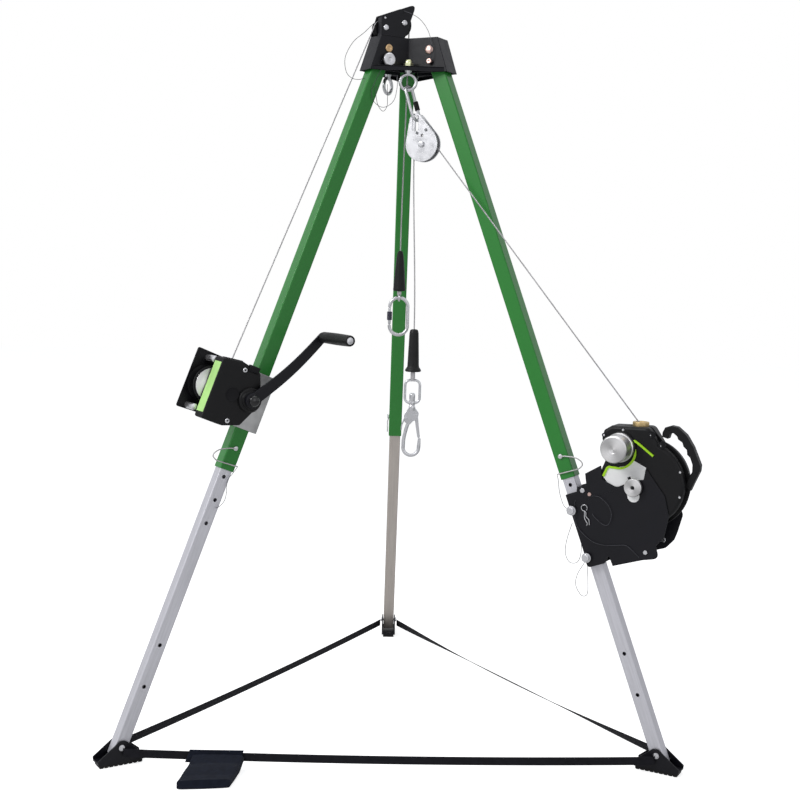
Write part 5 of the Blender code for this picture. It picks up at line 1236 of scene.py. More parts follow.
def sheave(name, rope_radius, axle, material):
    """A grooved wheel with a thinner web between its rim and its hub."""
    half, low, rim = SHEAVE_HALF, rope_radius - ROPE / 2 - 0.0007, rope_radius + 0.0031
    web = max(0.012, rope_radius - 0.012)
    profile = [(0.0063, -half), (0.0115, -half), (0.0122, -half + 0.002), (web, -half + 0.002),
        (web + 0.001, -half), (rim, -half), (rim, 0.002 - half), (low + 0.0016, -0.0024), (low, -0.001),
        (low, 0.001), (low + 0.0016, 0.0024), (rim, half - 0.002), (rim, half), (web + 0.001, half),
        (web, half - 0.002), (0.0122, half - 0.002), (0.0115, half), (0.0063, half)]
    return lathe(name, profile, axle, material, 64, 0.0004)


for label, place in (("inner", SHEAVE_IN), ("outer", SHEAVE_OUT)):
    axle = side_axle(LEFT_HEAD, place[0], place[1])
    fit(sheave(f"pulley_{label}", place[2], axle, MOULDED), f"sheave_{label}", "bright_steel",
        f"sheave_{label}")
    inner, outer, collar = HEAD_HALF - PLATE - GAP, HEAD_HALF + GAP, SHEAVE_HALF + GAP
    shaft = solid("shaft", [(0.0048, -outer), (0.0048, -inner), (0.009, -inner), (0.009, -collar),
        (0.006, -collar), (0.006, collar), (0.009, collar), (0.009, inner), (0.0048, inner),
        (0.0048, outer)], axle, ZINC, 32)
    cap = lathe("cap", [(0.0, 0.0), (0.0094, 0.0), (0.0094, 0.0024), (0.007, 0.0048), (0.0, 0.0058)],
        axle, FORGED, 40, 0.0016, at=outer)
    back = side_axle(LEFT_HEAD, place[0], place[1], -1.0)
    far = nut("nut", 0.0085, outer, outer + 0.0078, back, ZINC)
    merged(f"pulley_axle_{label}", [shaft, cap, far], "head", "bright_steel", f"sheave_axle_{label}")


def anchor_eye(name, azimuth, node_name):
    """A forged ring with its threaded shank, collar and lock nut."""
    base = shifted(head_frame(azimuth), EYE_REACH, 0.0, 0.0)
    ring = ring_route(EYE_RADIUS, EYE_DROP, 48)
    pieces = [bar("ring", ring, EYE_BAR, base, FORGED, 16, True)]
    top, under, over = EYE_DROP + EYE_RADIUS, BRIDGE[0] - GAP, BRIDGE[1] + GAP
    pieces.append(solid("shank", [(0.0078, top), (0.0092, top + 0.006), (0.0128, under - 0.004),
        (0.0128, under), (0.007, under), (0.007, over)], base, FORGED, 32))
    pieces.append(nut("nut", 0.0158, over, over + 0.0125, base, WARM_ZINC, 0.35))
    pieces.append(lathe("dome", [(0.0, 0.011), (0.0118, 0.011), (0.0116, 0.017), (0.009, 0.0225),
        (0.0, 0.025)], base, WARM_ZINC, 32, 0.003, at=over))
    return merged(name, pieces, "head", "bright_steel", node_name)


anchor_eye("anchor_eye_front", 270.0, "eye_front")
anchor_eye("anchor_eye_rear", 150.0, "eye_rear")

# %% [markdown]
# ## The winch
#
# The winch is a plate, a drum and a moulded gear cover in a row along one axis, so the pieces share
# one frame: x out from the leg, z along it, and the depth along y.

# %% Winch bracket, rear plate and rods
def ring_prism(name, outer_loop, inner_loop, low, high, base, material, edge):
    """A sleeve: the space between two (x, y) loops with the same number of points."""
    count = len(outer_loop)
    vertices, faces = [], []
    for height in (low, high):
        for loop in (outer_loop, inner_loop):
            vertices += [(x, y, height) for x, y in loop]
    for index in range(count):
        after = (index + 1) % count
        for first, second in ((0, 2), (1, 3), (0, 1), (2, 3)):
            faces.append([first * count + index, first * count + after, second * count + after,
                second * count + index])
    return walls(name, vertices, faces, base, material, edge)


def rectangle(x0, x1, y0, y1, radius=0.0, steps=4):
    return rounded([(x0, y0, radius), (x1, y0, radius), (x1, y1, radius), (x0, y1, radius)], steps)


half = UPPER_TUBE / 2 + GAP
side_reach = -WINCH_BACK - GAP
bracket = ring_prism("winch_mount", rectangle(-0.047, 0.0275, -side_reach, side_reach),
    rectangle(-0.0438, half, -half, half), -1.303, -1.122, LEFT_LEG, MOUNT, 0.0014)
parts = [bracket]
for z in (-1.285, -1.14):
    parts.append(nut("nut", 0.0068, 0.047, 0.05, LEFT_LEG @ Matrix.Translation((0, 0, z))
        @ Matrix.Rotation(-math.pi / 2, 4, "Y"), ZINC, 0.2))
merged("winch_mount", parts, "upper_leg_left", "silver_tube", "winch_bracket")

plate_outline = rounded([(-0.02, -1.295, 0.006), (0.211, -1.306, 0.007), (0.211, -1.114, 0.007),
    (0.04, -1.117, 0.006), (-0.02, -1.14, 0.006)])
parts = [slab("plate", plate_outline, WINCH_BACK - PLATE, WINCH_BACK, LEFT_LEG, FRAME_BLACK, 0.0008,
    [circle(DRUM_PLACE[0], -DRUM_PLACE[1], 0.0083)])]
for x, z in ((0.169, -1.135), (0.177, -1.292)):
    rod = side_axle(LEFT_LEG, x, z)
    parts.append(solid("rod", [(0.0105, WINCH_BACK - 0.0005), (0.0105, COVER_FACES[0] - GAP)], rod,
        ZINC, 32))
    parts.append(nut("nut", 0.0085, 0.0316, 0.0372, side_axle(LEFT_LEG, x, z, -1.0), ZINC))
merged("winch_rear_plate", parts, "upper_leg_left", "black_paint", "winch_frame")

# %% Winch cover
hub = (CRANK_PLACE[0], -CRANK_PLACE[1])
low_face, front_face = COVER_FACES
cover_outline = rounded([(0.169, -1.316, 0.008), (0.17, -1.124, 0.006), (0.095, -1.113, 0.01),
    (0.03, -1.126, 0.01)] + sharp(arc(hub, 0.042, 135, 235, 20)) + [(0.034, -1.297, 0.008),
    (0.088, -1.316, 0.02)])
recess = (0.093, -1.217)
cover_shell = slab("cover", cover_outline, low_face, front_face, LEFT_LEG, MOULDED, 0.0034, segments=4)
cover_parts = [leaned(cover_shell, LEFT_LEG, 0.12, 0.0085, low_face, front_face)]
axle = side_axle(LEFT_LEG, *hub)
cover_parts.append(solid("boss", [(0.0375, -0.002), (0.0375, 0.008), (0.0345, 0.011), (0.03, 0.011),
    (0.0285, 0.0165)], axle, MOULDED, 64, 0.0012, at=front_face))
cover_parts.append(solid("recess", [(0.0228, -0.002), (0.0228, 0.0006), (0.0208, 0.0012),
    (0.019, 0.0003)], side_axle(LEFT_LEG, *recess), FRAME_BLACK, 48, 0.0003, at=front_face))
for x, z in ((0.0827, -1.135), (0.0787, -1.297)):
    cover_parts.append(cap_screw("screw", 0.0074, front_face - 0.001, front_face + 0.004,
        side_axle(LEFT_LEG, x, z), ZINC))
for x, z in ((0.0477, -1.2016), (0.0145, -1.1907), (0.039, -1.2384)):
    cover_parts.append(cap_screw("screw", 0.004, front_face + 0.009, front_face + 0.013,
        side_axle(LEFT_LEG, x, z), ZINC))
cover_parts.append(block("clip", (0.038, front_face - 0.012, -1.133),
    (0.072, front_face + 0.0075, -1.113), LEFT_LEG, FRAME_BLACK, 0.003))
for step in range(7):
    x = 0.15 - 0.0085 * step
    top = -1.113 - (x - 0.095) * 0.147
    cover_parts.append(block("rib", (x - 0.002, low_face + 0.003, top - 0.002),
        (x + 0.002, front_face - 0.004, top + 0.0026), LEFT_LEG, MOULDED, 0.0008))
edge_low = Vector((0.1691, low_face, -1.3))
edge_high = Vector((0.1698, low_face, -1.136))
edge_along = (edge_high - edge_low).normalized()
edge_across = Vector((-0.0085, front_face - low_face, 0.0)).normalized()
edge_out = edge_across.cross(edge_along)
strip_base = LEFT_LEG @ axes_frame(edge_low, edge_out, edge_across, edge_along)
strip = block("strip", (-0.0004, 0.003, 0.002), (0.0006, 0.0372, 0.162), strip_base, LABEL, 0.0002)
cover_parts.append(strip)
cover = joined("winch_gear_cover", cover_parts)
fit(cover, "upper_leg_left", "black_plastic", "winch_cover")

# %% Drum, crank and grip
drum_axle = side_axle(LEFT_LEG, DRUM_PLACE[0], -DRUM_PLACE[1])
low, high = DRUM_SPAN
drum = solid("drum", [(0.008, WINCH_BACK - 0.0035), (0.008, low - 0.0035), (DRUM_FLANGE, low - 0.0035),
    (DRUM_FLANGE, low), (DRUM_CORE, low), (DRUM_CORE, high), (DRUM_FLANGE, high),
    (DRUM_FLANGE, high + 0.0035)], drum_axle, FRAME_BLACK, 72)
disc = solid("disc", [(0.0505, high + 0.003), (0.05, high + 0.0046), (0.049, high + 0.005),
    (0.015, high + 0.005), (0.0145, high + 0.008), (0.008, high + 0.008),
    (0.008, COVER_FACES[0] + 0.008)], drum_axle, STEEL_WITH_PAINTED_SHEEN, 72)
merged("winch_drum_turned", [drum, disc], "winch_drum", "brushed_steel", "winch_drum")

face = COVER_FACES[1] + 0.017 + GAP
crank_end = (CRANK_END[0], -CRANK_END[1])
line = Vector(crank_end) - Vector(hub)
across = Vector((-line.y, line.x)).normalized()
edge_a, edge_b = [], []
for step in range(25):
    share = step / 24
    middle = Vector(hub) + line * share + across * 0.01 * math.sin(share * math.pi)
    width = 0.0185 - 0.0035 * share
    edge_a.append(tuple(middle + across * width))
    edge_b.append(tuple(middle - across * width))
angle = math.degrees(math.atan2(line.y, line.x))
arm_outline = edge_a + arc(crank_end, 0.015, angle + 70, angle - 70, 14) + edge_b[::-1]
crank = [slab("arm", arm_outline, face + 0.001, face + 0.009, LEFT_LEG, BLACK, 0.0014, segments=3)]
crank.append(solid("hub", [(0.008, -0.002), (0.008, 0.0), (0.023, 0.0), (0.023, 0.01), (0.019, 0.012),
    (0.019, 0.016), (0.015, 0.018)], axle, BLACK, 56, 0.0008, at=face))
crank.append(lathe("dome", [(0.0172, 0.014), (0.0172, 0.021), (0.0155, 0.025), (0.01, 0.0285),
    (0.0, 0.03)], axle, GLOSS, 48, 0.003, at=face))
crank.append(lathe("spindle", [(0.0, 0.002), (0.0055, 0.002), (0.0055, 0.182), (0.0114, 0.182),
    (0.0114, 0.1842), (0.0095, 0.1856), (0.0, 0.1862)], side_axle(LEFT_LEG, *crank_end), ZINC, 32,
    at=face))
merged("crank_arm", crank, "winch_crank", "black_paint", "winch_crank")

grip_low = face + 0.009 + GAP
grip_high = grip_low + 0.176
grip_profile = [(0.0058, grip_low), (0.014, grip_low), (0.0172, grip_low + 0.004)]
for step in range(1, 13):
    share = step / 13
    swell = 0.001 * math.sin(share * math.pi)
    grip_profile.append((0.0172 + swell, grip_low + 0.004 + share * 0.166))
grip_profile += [(0.017, grip_high - 0.004), (0.016, grip_high), (0.0128, grip_high),
    (0.012, grip_high - 0.004), (0.0058, grip_high - 0.004)]
fit(lathe("crank_grip", grip_profile, side_axle(LEFT_LEG, *crank_end), RUBBER, 48, 0.001), "winch_grip",
    "grip_rubber", "winch_grip")
print("winch dressed")

# %% [markdown]
# ## The retrieval unit
#
# A moulded housing sits between two steel plates on the right leg. Its outline is one closed line
# with rounded corners, which is the quickest way to a believable moulding: draw the silhouette, give
# it depth, and round its rim in a few steps.

# %% Unit bracket
inner, outer = UNIT_HALF + GAP, UNIT_HALF + GAP + PLATE
front_plate = rounded([(-0.0205, -1.715, 0.012), (0.04, -1.715, 0.012), (0.0595, -1.695, 0.003),
    (0.061, -1.729, 0.0), (0.1584, -1.7345, 0.004), (0.21, -1.743, 0.026), (0.213, -1.704, 0.006),
    (0.244, -1.688, 0.02), (0.281, -1.6311, 0.03), (0.289, -1.57, 0.02), (0.26, -1.474, 0.004),
    (0.242, -1.506, 0.006), (0.21, -1.5, 0.01), (0.1518, -1.505, 0.024), (0.115, -1.47, 0.01),
    (0.126, -1.428, 0.003), (0.068, -1.438, 0.0), (0.06, -1.4731, 0.0), (0.029, -1.47, 0.004),
    (0.022, -1.485, 0.004), (-0.0063, -1.487, 0.012), (-0.0135, -1.508, 0.008), (-0.013, -1.52, 0.002),
    (0.0025, -1.5215, 0.003), (-0.0094, -1.5819, 0.02), (-0.0105, -1.6206, 0.02)])
rear_plate = rounded([(-0.0205, -1.715, 0.01), (0.17, -1.723, 0.01), (0.2103, -1.725, 0.02),
    (0.245, -1.708, 0.02), (0.264, -1.686, 0.02), (0.296, -1.6429, 0.02), (0.295, -1.56, 0.01),
    (0.072, -1.47, 0.0), (-0.0205, -1.47, 0.014)])
sx, sz = SELECTOR_PLACE[0], -SELECTOR_PLACE[1]
slot_hole = rounded([(sx - 0.008, sz - 0.03, 0.008), (sx + 0.012, sz - 0.03, 0.008),
    (sx + 0.012, sz + 0.008, 0.004), (sx - 0.008, sz + 0.008, 0.004)])
parts = [slab("front", front_plate, -outer, -inner, RIGHT_LEG, BLACK, 0.0008, [slot_hole]),
    slab("rear", rear_plate, inner, outer, RIGHT_LEG, BLACK, 0.0008)]
bore_half = LOWER_TUBE / 2 + GAP
parts.append(block("web", (0.0215, -inner - 0.0006, -1.712), (0.03, inner + 0.0006, -1.49), RIGHT_LEG,
    BLACK))
parts.append(ring_prism("sleeve", rectangle(-0.0236, 0.03, -0.0262, 0.0262),
    rectangle(-bore_half, bore_half, -bore_half, bore_half), -1.715, -1.484, RIGHT_LEG, BLACK, 0.0008))
for place in (HOLES[1], HOLES[1] + 0.15):
    pin = side_axle(RIGHT_LEG, -0.0095, -place, -1.0)
    parts.append(solid("pin", [(0.01, 0.0255), (0.01, outer + 0.008), (0.015, outer + 0.0085),
        (0.015, outer + 0.0105)], pin, ZINC, 32, 0.0004))
    parts.append(nut("head", 0.0125, outer + 0.0104, outer + 0.0215, pin, ZINC, 0.4))
for x, z, radius, finish in ((0.176, -1.7144, 0.007, ZINC), (0.0433, -1.485, 0.008, ZINC),
        (0.062, -1.502, 0.0062, COPPER)):
    spot = side_axle(RIGHT_LEG, x, z, -1.0)
    parts.append(nut("bolt", radius, outer - 0.001, outer + 0.0048, spot, finish, 0.5))
parts.append(nut("bolt", 0.008, -inner - 0.001, -inner + 0.0055,
    side_axle(RIGHT_LEG, 0.213, -1.699, -1.0), ZINC, 0.5))
parts.append(solid("disc", [(0.019, -0.001), (0.019, 0.0006)], side_axle(RIGHT_LEG, 0.195, -1.544,
    -1.0), WHITE, 40, 0.0003, at=outer))
ring = [(x, -outer - 0.006, z) for x, z in arc((0.0334, -1.537), 0.0095, -70, 250, 16)]
for tail in (((0.034, -0.006, -1.552), (0.03, -0.005, -1.564), (0.035, -0.004, -1.576),
        (0.031, -0.003, -1.591)), ((0.03, -0.006, -1.55), (0.024, -0.006, -1.568),
        (0.027, -0.0055, -1.584), (0.0235, -0.005, -1.59))):
    line = ring + [(x, -outer + y, z) for x, y, z in tail]
    parts.append(bar("clip", smooth_line(line, 0.002), 0.0013, RIGHT_LEG, ZINC, 8))
merged("unit_mount_plates", parts, "lower_leg_right", "black_paint", "unit_bracket")

# %% Unit housing
def unit_outline(radius):
    return rounded([(0.152, -1.405, 0.016), (0.152, -1.35, 0.016), (0.168, -1.328, 0.012),
        (0.195, -1.323, 0.0), (0.24, -1.3385, 0.0), (0.306, -1.362, 0.02)]
        + sharp(arc((0.232, -1.515), radius, 48, -112, 48)) + [(0.115, -1.655, 0.02),
        (0.09, -1.6, 0.03), (0.09, -1.47, 0.03)])


handle_outline = rounded([(x, z, 0.004) for x, z in ((0.328, -1.4), (0.3335, -1.3874), (0.346, -1.376),
    (0.3666, -1.3765), (0.383, -1.386), (0.401, -1.4163), (0.4095, -1.4568), (0.412, -1.5143),
    (0.404, -1.5307), (0.374, -1.5602), (0.3551, -1.58), (0.345, -1.56), (0.364, -1.54),
    (0.3819, -1.5249), (0.3898, -1.505), (0.3898, -1.483), (0.384, -1.472), (0.388, -1.459),
    (0.381, -1.446), (0.382, -1.434), (0.3725, -1.422), (0.3725, -1.412), (0.364, -1.3985),
    (0.354, -1.399), (0.344, -1.412))], 5)
housing = slab("housing", unit_outline(0.128), -UNIT_HALF, -0.004, RIGHT_LEG, MOULDED, 0.011,
    segments=6)
rim = slab("rim", unit_outline(0.1375), -0.006, 0.003, RIGHT_LEG, MOULDED, 0.002, segments=3)
behind = slab("behind", unit_outline(0.13), 0.0, UNIT_HALF, RIGHT_LEG, MOULDED, 0.008, segments=5)
guide_frame = Matrix.Translation(RIGHT_LEG @ Vector((0.2725, 0.0, -1.3476)))
for piece in (housing, rim, behind):
    drilled(piece, [(0.0258, guide_frame, -0.0112, 0.06)])
handle = slab("handle", handle_outline, -0.013, 0.013, RIGHT_LEG, MOULDED, 0.003, segments=4)
knob_axle = side_axle(RIGHT_LEG, KNOB_PLACE[0], -KNOB_PLACE[1], -1.0)
lever_axle = side_axle(RIGHT_LEG, SELECTOR_PLACE[0], -SELECTOR_PLACE[1], -1.0)
parts = [housing, rim, behind, handle]
parts.append(solid("seat", [(0.048, -0.002), (0.048, 0.004), (0.0465, 0.006)], knob_axle, MOULDED, 64,
    0.0008, at=UNIT_HALF))
parts.append(solid("seat", [(0.006, -0.002), (0.006, 0.009)], lever_axle, MOULDED, 24, 0.0004,
    at=UNIT_HALF))
for x, z in ((0.3048, -1.3856), (0.3248, -1.4244), (0.2277, -1.3454), (0.164, -1.343), (0.356, -1.515),
        (0.33, -1.585)):
    spot = side_axle(RIGHT_LEG, x, z, -1.0)
    parts.append(lathe("boss", [(0.0038, -0.002), (0.0066, -0.002), (0.0066, 0.0008), (0.0055, 0.0012),
        (0.0038, 0.0006)], spot, MOULDED, 28, 0.0002, at=UNIT_HALF))
    if z > -1.43 and x > 0.29:
        # A flush dark disc beside each upper screw: painted shade where a screw pocket would be.
        parts.append(solid("painted_pocket_shade", [(0.012, -0.002), (0.0118, 0.0003)],
            shifted(spot, 0.004, 0.0, 0.0), FRAME_BLACK, 32, 0.0, at=UNIT_HALF))
    parts.append(lathe("screw", [(0.0, -0.001), (0.0036, -0.001), (0.0034, 0.0002), (0.0, 0.0004)],
        spot, ZINC, 20, 0.0, at=UNIT_HALF))
for x, z in ((0.356, -1.387), (0.3905, -1.462), (0.393, -1.5298)):
    parts.append(lathe("dot", [(0.0, 0.012), (0.0032, 0.012), (0.0032, 0.0136), (0.0, 0.0138)],
        side_axle(RIGHT_LEG, x, z, -1.0), FRAME_BLACK, 20, 0.0003))
window = [(0.12, -1.46), (0.146, -1.439), (0.1653, -1.447), (0.1985, -1.451), (0.2304, -1.443),
    (0.26, -1.474), (0.242, -1.512), (0.1787, -1.512), (0.1479, -1.508), (0.13, -1.49)]
parts.append(slab("white_plate", window, -UNIT_HALF - 0.0007, -UNIT_HALF + 0.001, RIGHT_LEG, WHITE,
    0.0002))
trim_route = [(0.1217, -1.4612), (0.144, -1.44), (0.1562, -1.443), (0.1828, -1.4535), (0.2035, -1.4534),
    (0.2234, -1.4449), (0.2389, -1.4298), (0.245, -1.4092), (0.2445, -1.395), (0.2538, -1.389),
    (0.2933, -1.4469)]
trim = smooth_line([(x, 0.0, z) for x, z in trim_route], 0.004)
parts.append(slab("trim", ribbon([(point.x, point.z) for point in trim], 0.0065), -UNIT_HALF - 0.0048,
    -UNIT_HALF + 0.001, RIGHT_LEG, LIME, 0.001))
merged("unit_moulded_housing", parts, "lower_leg_right", "black_plastic", "unit_housing")

# %% Knob, selector and rope guide
seat = UNIT_HALF + 0.006 + GAP
knob = [solid("knob", [(0.0445, 0.0), (0.0445, 0.012), (0.0415, 0.014), (0.0415, 0.061),
    (0.0392, 0.0645), (0.036, 0.0655), (0.012, 0.0655), (0.011, 0.0645)], knob_axle, STEEL_WITH_PAINTED_SHEEN, 80, 0.0006,
    at=seat)]
merged("unit_drive_knob", knob, "unit_knob", "brushed_steel", "unit_knob")
seat = UNIT_HALF + 0.009 + GAP
selector = [solid("selector", [(0.009, 0.0), (0.009, 0.004), (0.0275, 0.004), (0.0275, 0.0125),
    (0.0258, 0.0145), (0.0065, 0.0145), (0.006, 0.012)], lever_axle, STEEL_WITH_PAINTED_SHEEN, 64, at=seat)]
selector.append(lathe("centre", [(0.0, 0.0118), (0.0052, 0.0118), (0.005, 0.0138), (0.0, 0.0142)],
    lever_axle, FRAME_BLACK, 24, 0.0003, at=seat))
selector.append(block("nub", (sx - 0.0055, -seat - 0.013, sz + 0.0235),
    (sx + 0.003, -seat - 0.005, sz + 0.0345), RIGHT_LEG, FRAME_BLACK, 0.002))
merged("unit_selector_disc", selector, "unit_selector", "brushed_steel", "unit_selector")
guide = lathe("rope_guide", [(0.0125, -0.0105), (0.0225, -0.0105), (0.0225, -0.007), (0.025, -0.005),
    (0.025, 0.0085), (0.0235, 0.0105), (0.015, 0.0105), (0.0125, 0.008)], guide_frame, BRASS, 56,
    0.0008)
fit(guide, "lower_leg_right", "brass", "unit_collar")
print("unit dressed")

# %% [markdown]
# ## What hangs from the head
#
# A snatch block on a carabiner carries the retrieval rope. Its cheeks are pear shaped: the hull of a
# large circle at the axle and a small one at the eye.

# %% Snatch block
def oval(length, radius, turns=20):
    points = []
    for centre, start in ((-radius, 0.0), (-length + radius, math.pi)):
        for step in range(turns + 1):
            angle = start + math.pi * step / turns
            points.append((radius * math.cos(angle), 0.0, centre + radius * math.sin(angle)))
    return points


def ridges(first, pitch, count):
    """The fine steps on a screw sleeve, as (radius, height)."""
    made = []
    for step in range(count):
        height = first + step * pitch
        made += [(0.0085, height), (0.0081, height + 0.0008), (0.0081, height + 0.0018)]
    return made


def block_carabiner():
    top = MIDDLE + Vector((0.0, -EYE_REACH, PIVOT_HEIGHT + EYE_DROP - EYE_RADIUS + EYE_BAR + 0.0061))
    bottom = block_frame() @ Vector((BLOCK_EYE[0], 0.0, BLOCK_EYE[1]))
    down = (bottom - top).normalized()
    side = Vector((0.56, 0.83, 0.0))
    side = (side - down * side.dot(down)).normalized()
    base = axes_frame(top, side, (-down).cross(side), -down)
    length = (bottom - top).length
    line = [point for index, point in enumerate(oval(length, 0.021)) if index]
    body = bar("body", line, 0.005, base, FORGED, 16, True)
    sleeve_base = shifted(base, 0.021, 0.0, 0.0)
    profile = [(0.0, -0.08), (0.0078, -0.08), (0.0085, -0.077)] + ridges(-0.0765, 0.003, 7)
    profile += [(0.0085, -0.054), (0.0078, -0.051), (0.0, -0.051)]
    sleeve = lathe("sleeve", profile, sleeve_base, MOULDED, 32, 0.0003)
    merged("block_link_carabiner", [body, sleeve], "head", "bright_steel", "block_carabiner")


def cheek_outline():
    axle = Vector((BLOCK_AXLE, BLOCK_HEIGHT))
    eye = Vector((BLOCK_EYE[0] + 0.002, BLOCK_EYE[1] - 0.002))
    large, small = 0.056, 0.023
    line = eye - axle
    tilt = math.degrees(math.acos((large - small) / line.length))
    aim = math.degrees(math.atan2(line.y, line.x))
    return (arc(axle, large, aim + tilt, aim - tilt + 360, 48) + arc(eye, small, aim - tilt, aim + tilt,
        18))


def cheek(name, low, high, extra, holes, node_name):
    x, top = BLOCK_EYE[0] + 0.001, BLOCK_EYE[1] + 0.015
    slot = rounded([(x - 0.0105, top - 0.05, 0.007), (x + 0.0105, top - 0.05, 0.007),
        (x + 0.0105, top, 0.004), (x - 0.0105, top, 0.004)])
    plate = slab(name, cheek_outline(), low, high, block_frame(), FORGED, 0.0009, [slot] + holes)
    merged(name, [plate] + extra, "head", "bright_steel", node_name)


block_carabiner()
block_axle = side_axle(block_frame(), BLOCK_AXLE, BLOCK_HEIGHT)
axle_pin = solid("axle", [(0.008, -0.0203), (0.01, -0.019), (0.01, -0.0143), (0.006, -0.0143),
    (0.006, 0.011), (0.011, 0.011), (0.011, 0.0165), (0.009, 0.0178)], block_axle, ZINC, 36, 0.0005)
cheek("block_side_plate_rear", 0.01, 0.014, [axle_pin], [], "block_cheek_rear")
round_holes = [circle(BLOCK_AXLE, BLOCK_HEIGHT, 0.0064)]
for x, z in ((0.044, 1.9345), (0.075, 1.944), (0.062, 1.927)):
    round_holes.append(circle(x, z, 0.0048, 24))
cheek("block_side_plate_front", -0.014, -0.01, [], round_holes, "block_cheek_front")
fit(sheave("block_wheel", BLOCK_ROPE, block_axle, CAST), "block_sheave", "bright_steel", "block_sheave")

# %% Bumpers, thimble and carabiner
BUMPER_LOW, ROPE_END = 1.4244, 1.557
GATE_TOP, GATE_LOW, GATE_BAR = -0.033, -0.0915, 0.0048
GATE_PIVOT_HEIGHT = GATE_LOW + GATE_BAR + GAP
LOOP_CENTRE, LOOP_RADIUS, LOOP_BAR = -0.0215, 0.0095, 0.0035
CARABINER_BAR, CARABINER_BEND = 0.0055, 0.03
bumper_base = upright(CARABINER_X, 0.0)
top = ROPE_END - GAP
fit(solid("rubber_stop_winch", [(0.019, BUMPER_LOW), (0.021, BUMPER_LOW + 0.004),
    (0.02, BUMPER_LOW + 0.012), (0.0165, BUMPER_LOW + 0.06), (0.012, BUMPER_LOW + 0.11),
    (0.0085, top - 0.003), (0.006, top)], bumper_base, RUBBER, 48, 0.003), "head", "grip_rubber",
    "winch_bumper")
eye_base = upright(CARABINER_X, 0.0, BUMPER_LOW - GAP)
ferrule = solid("ferrule", [(0.0058, -0.014), (0.007, -0.011), (0.007, 0.0)], eye_base, ROPE_STEEL, 32)
loop = ring_route(LOOP_RADIUS, LOOP_CENTRE, 32)
eye = bar("eye", loop, LOOP_BAR, eye_base, ZINC, 14, True)
merged("rope_eye", [ferrule, eye], "head", "bright_steel", "winch_thimble")

hook_top = BUMPER_LOW - GAP + LOOP_CENTRE - LOOP_RADIUS + LOOP_BAR + CARABINER_BAR + 0.0004
carabiner_base = upright(CARABINER_X, 0.0, hook_top)
outline = [(-CARABINER_BEND, GATE_LOW), (-CARABINER_BEND, GATE_LOW - 0.001)]
outline += arc((0.0, -0.0935), CARABINER_BEND, 180, 360, 24) + arc((0.0, -0.03), CARABINER_BEND, 0, 180,
    24)
outline.append((-CARABINER_BEND, GATE_TOP))
points = [(x, 0.0, z) for x, z in outline]
fit(bar("oval_carabiner", points, CARABINER_BAR, carabiner_base, FORGED, 20), "carabiner",
    "bright_steel", "carabiner")
gate_base = shifted(carabiner_base, -CARABINER_BEND, 0.0, GATE_PIVOT_HEIGHT)
span = GATE_TOP - GATE_PIVOT_HEIGHT
gate = lathe("gate", [(0.0, -GATE_BAR), (0.0029, -0.0038), (GATE_BAR, 0.0), (0.0048, span - 0.003),
    (0.0035, span - 0.0006), (0.0, span - 0.0005)], gate_base, FORGED, 28)
grooves = [(0.005, 0.0112), (0.008, 0.0115)] + ridges(0.0125, 0.0028, 9)
grooves += [(0.0085, 0.038), (0.008, 0.039), (0.005, 0.0395)]
sleeve = lathe("sleeve", grooves, gate_base, DARK_SLEEVE, 32, 0.0002)
merged("carabiner_screw_gate", [gate, sleeve], "carabiner_gate", "bright_steel", "carabiner_gate")

# %% [markdown]
# The snap hook is one forging with a fork. Its bar thins towards the nose, so the bar's maker takes
# one radius for each point of the line.

# %% Snap hook
LINK_TOP, LINK_LOW, HOOK_LOW = 1.138, 1.064, 0.8863
hook_base = upright(HOOK_X, HOOK_Y)
top = 1.3046 - GAP
fit(solid("rubber_stop_retrieval", [(0.024, 1.166), (0.0265, 1.169), (0.025, 1.174), (0.019, 1.182),
    (0.0175, 1.226), (0.015, top - 0.012), (0.0125, top - 0.002), (0.006, top)], hook_base, RUBBER, 48,
    0.003), "head", "grip_rubber", "recovery_bumper")
corner = 0.016
points = []
for x, z, start in ((0.024 - corner, LINK_TOP - corner, 0), (-0.024 + corner, LINK_TOP - corner, 90),
        (-0.024 + corner, LINK_LOW + corner, 180), (0.024 - corner, LINK_LOW + corner, 270)):
    points += [(px, 0.0, pz) for px, pz in arc((x, z), corner, start, start + 90, 10)]
link = [bar("link", points, 0.0042, hook_base, ZINC, 16, True)]
link.append(solid("ferrule", [(0.0065, LINK_TOP), (0.0075, LINK_TOP + 0.006), (0.0075, 1.1657)],
    hook_base, ROPE_STEEL, 32))
link.append(lathe("boss", [(0.0053, -0.006), (0.0105, -0.006), (0.0105, 0.006), (0.0053, 0.006)],
    hook_base, FORGED, 36, at=LINK_LOW))
merged("swivel_stirrup", link, "head", "bright_steel", "swivel_link")

over, under = LINK_LOW + 0.006 + GAP, LINK_LOW - 0.006 - GAP
stud = lathe("stud", [(0.0, 1.04), (0.011, 1.04), (0.011, under - 0.008), (0.009, under),
    (0.005, under), (0.005, over), (0.0095, over), (0.0095, over + 0.021), (0.007, over + 0.0255),
    (0.0, over + 0.026)], hook_base, FORGED, 36)
route = [(-0.002, 1.02), (-0.011, 0.998), (-0.0185, 0.972), (-0.024, 0.945)]
route += arc((0.0, HOOK_LOW + 0.006 + 0.0253), 0.0253, 168, 360, 12)
route += [(0.0262, 0.935), (0.0268, 0.9482)]
curve = smooth_line([(x, 0.0, z) for x, z in route], 0.0035)
count = len(curve)
radii = [0.006 - 0.0015 * max(0.0, (index - count + 8) / 7) for index in range(count)]
hook_bar = bar("bar", curve, radii, hook_base, FORGED, 20)
shoulder = rounded([(-0.0105, 1.048, 0.004), (0.0105, 1.048, 0.004), (0.0225, 1.032, 0.008),
    (0.0205, 1.011, 0.006), (0.004, 1.004, 0.006), (-0.006, 0.992, 0.004), (-0.0235, 1.001, 0.006),
    (-0.025, 1.022, 0.008)])
hook_parts = [stud, hook_bar]
for low, high in ((-0.0065, -0.0033), (0.0033, 0.0065)):
    hook_parts.append(slab("cheek", shoulder, low, high, hook_base, FORGED, 0.0007))
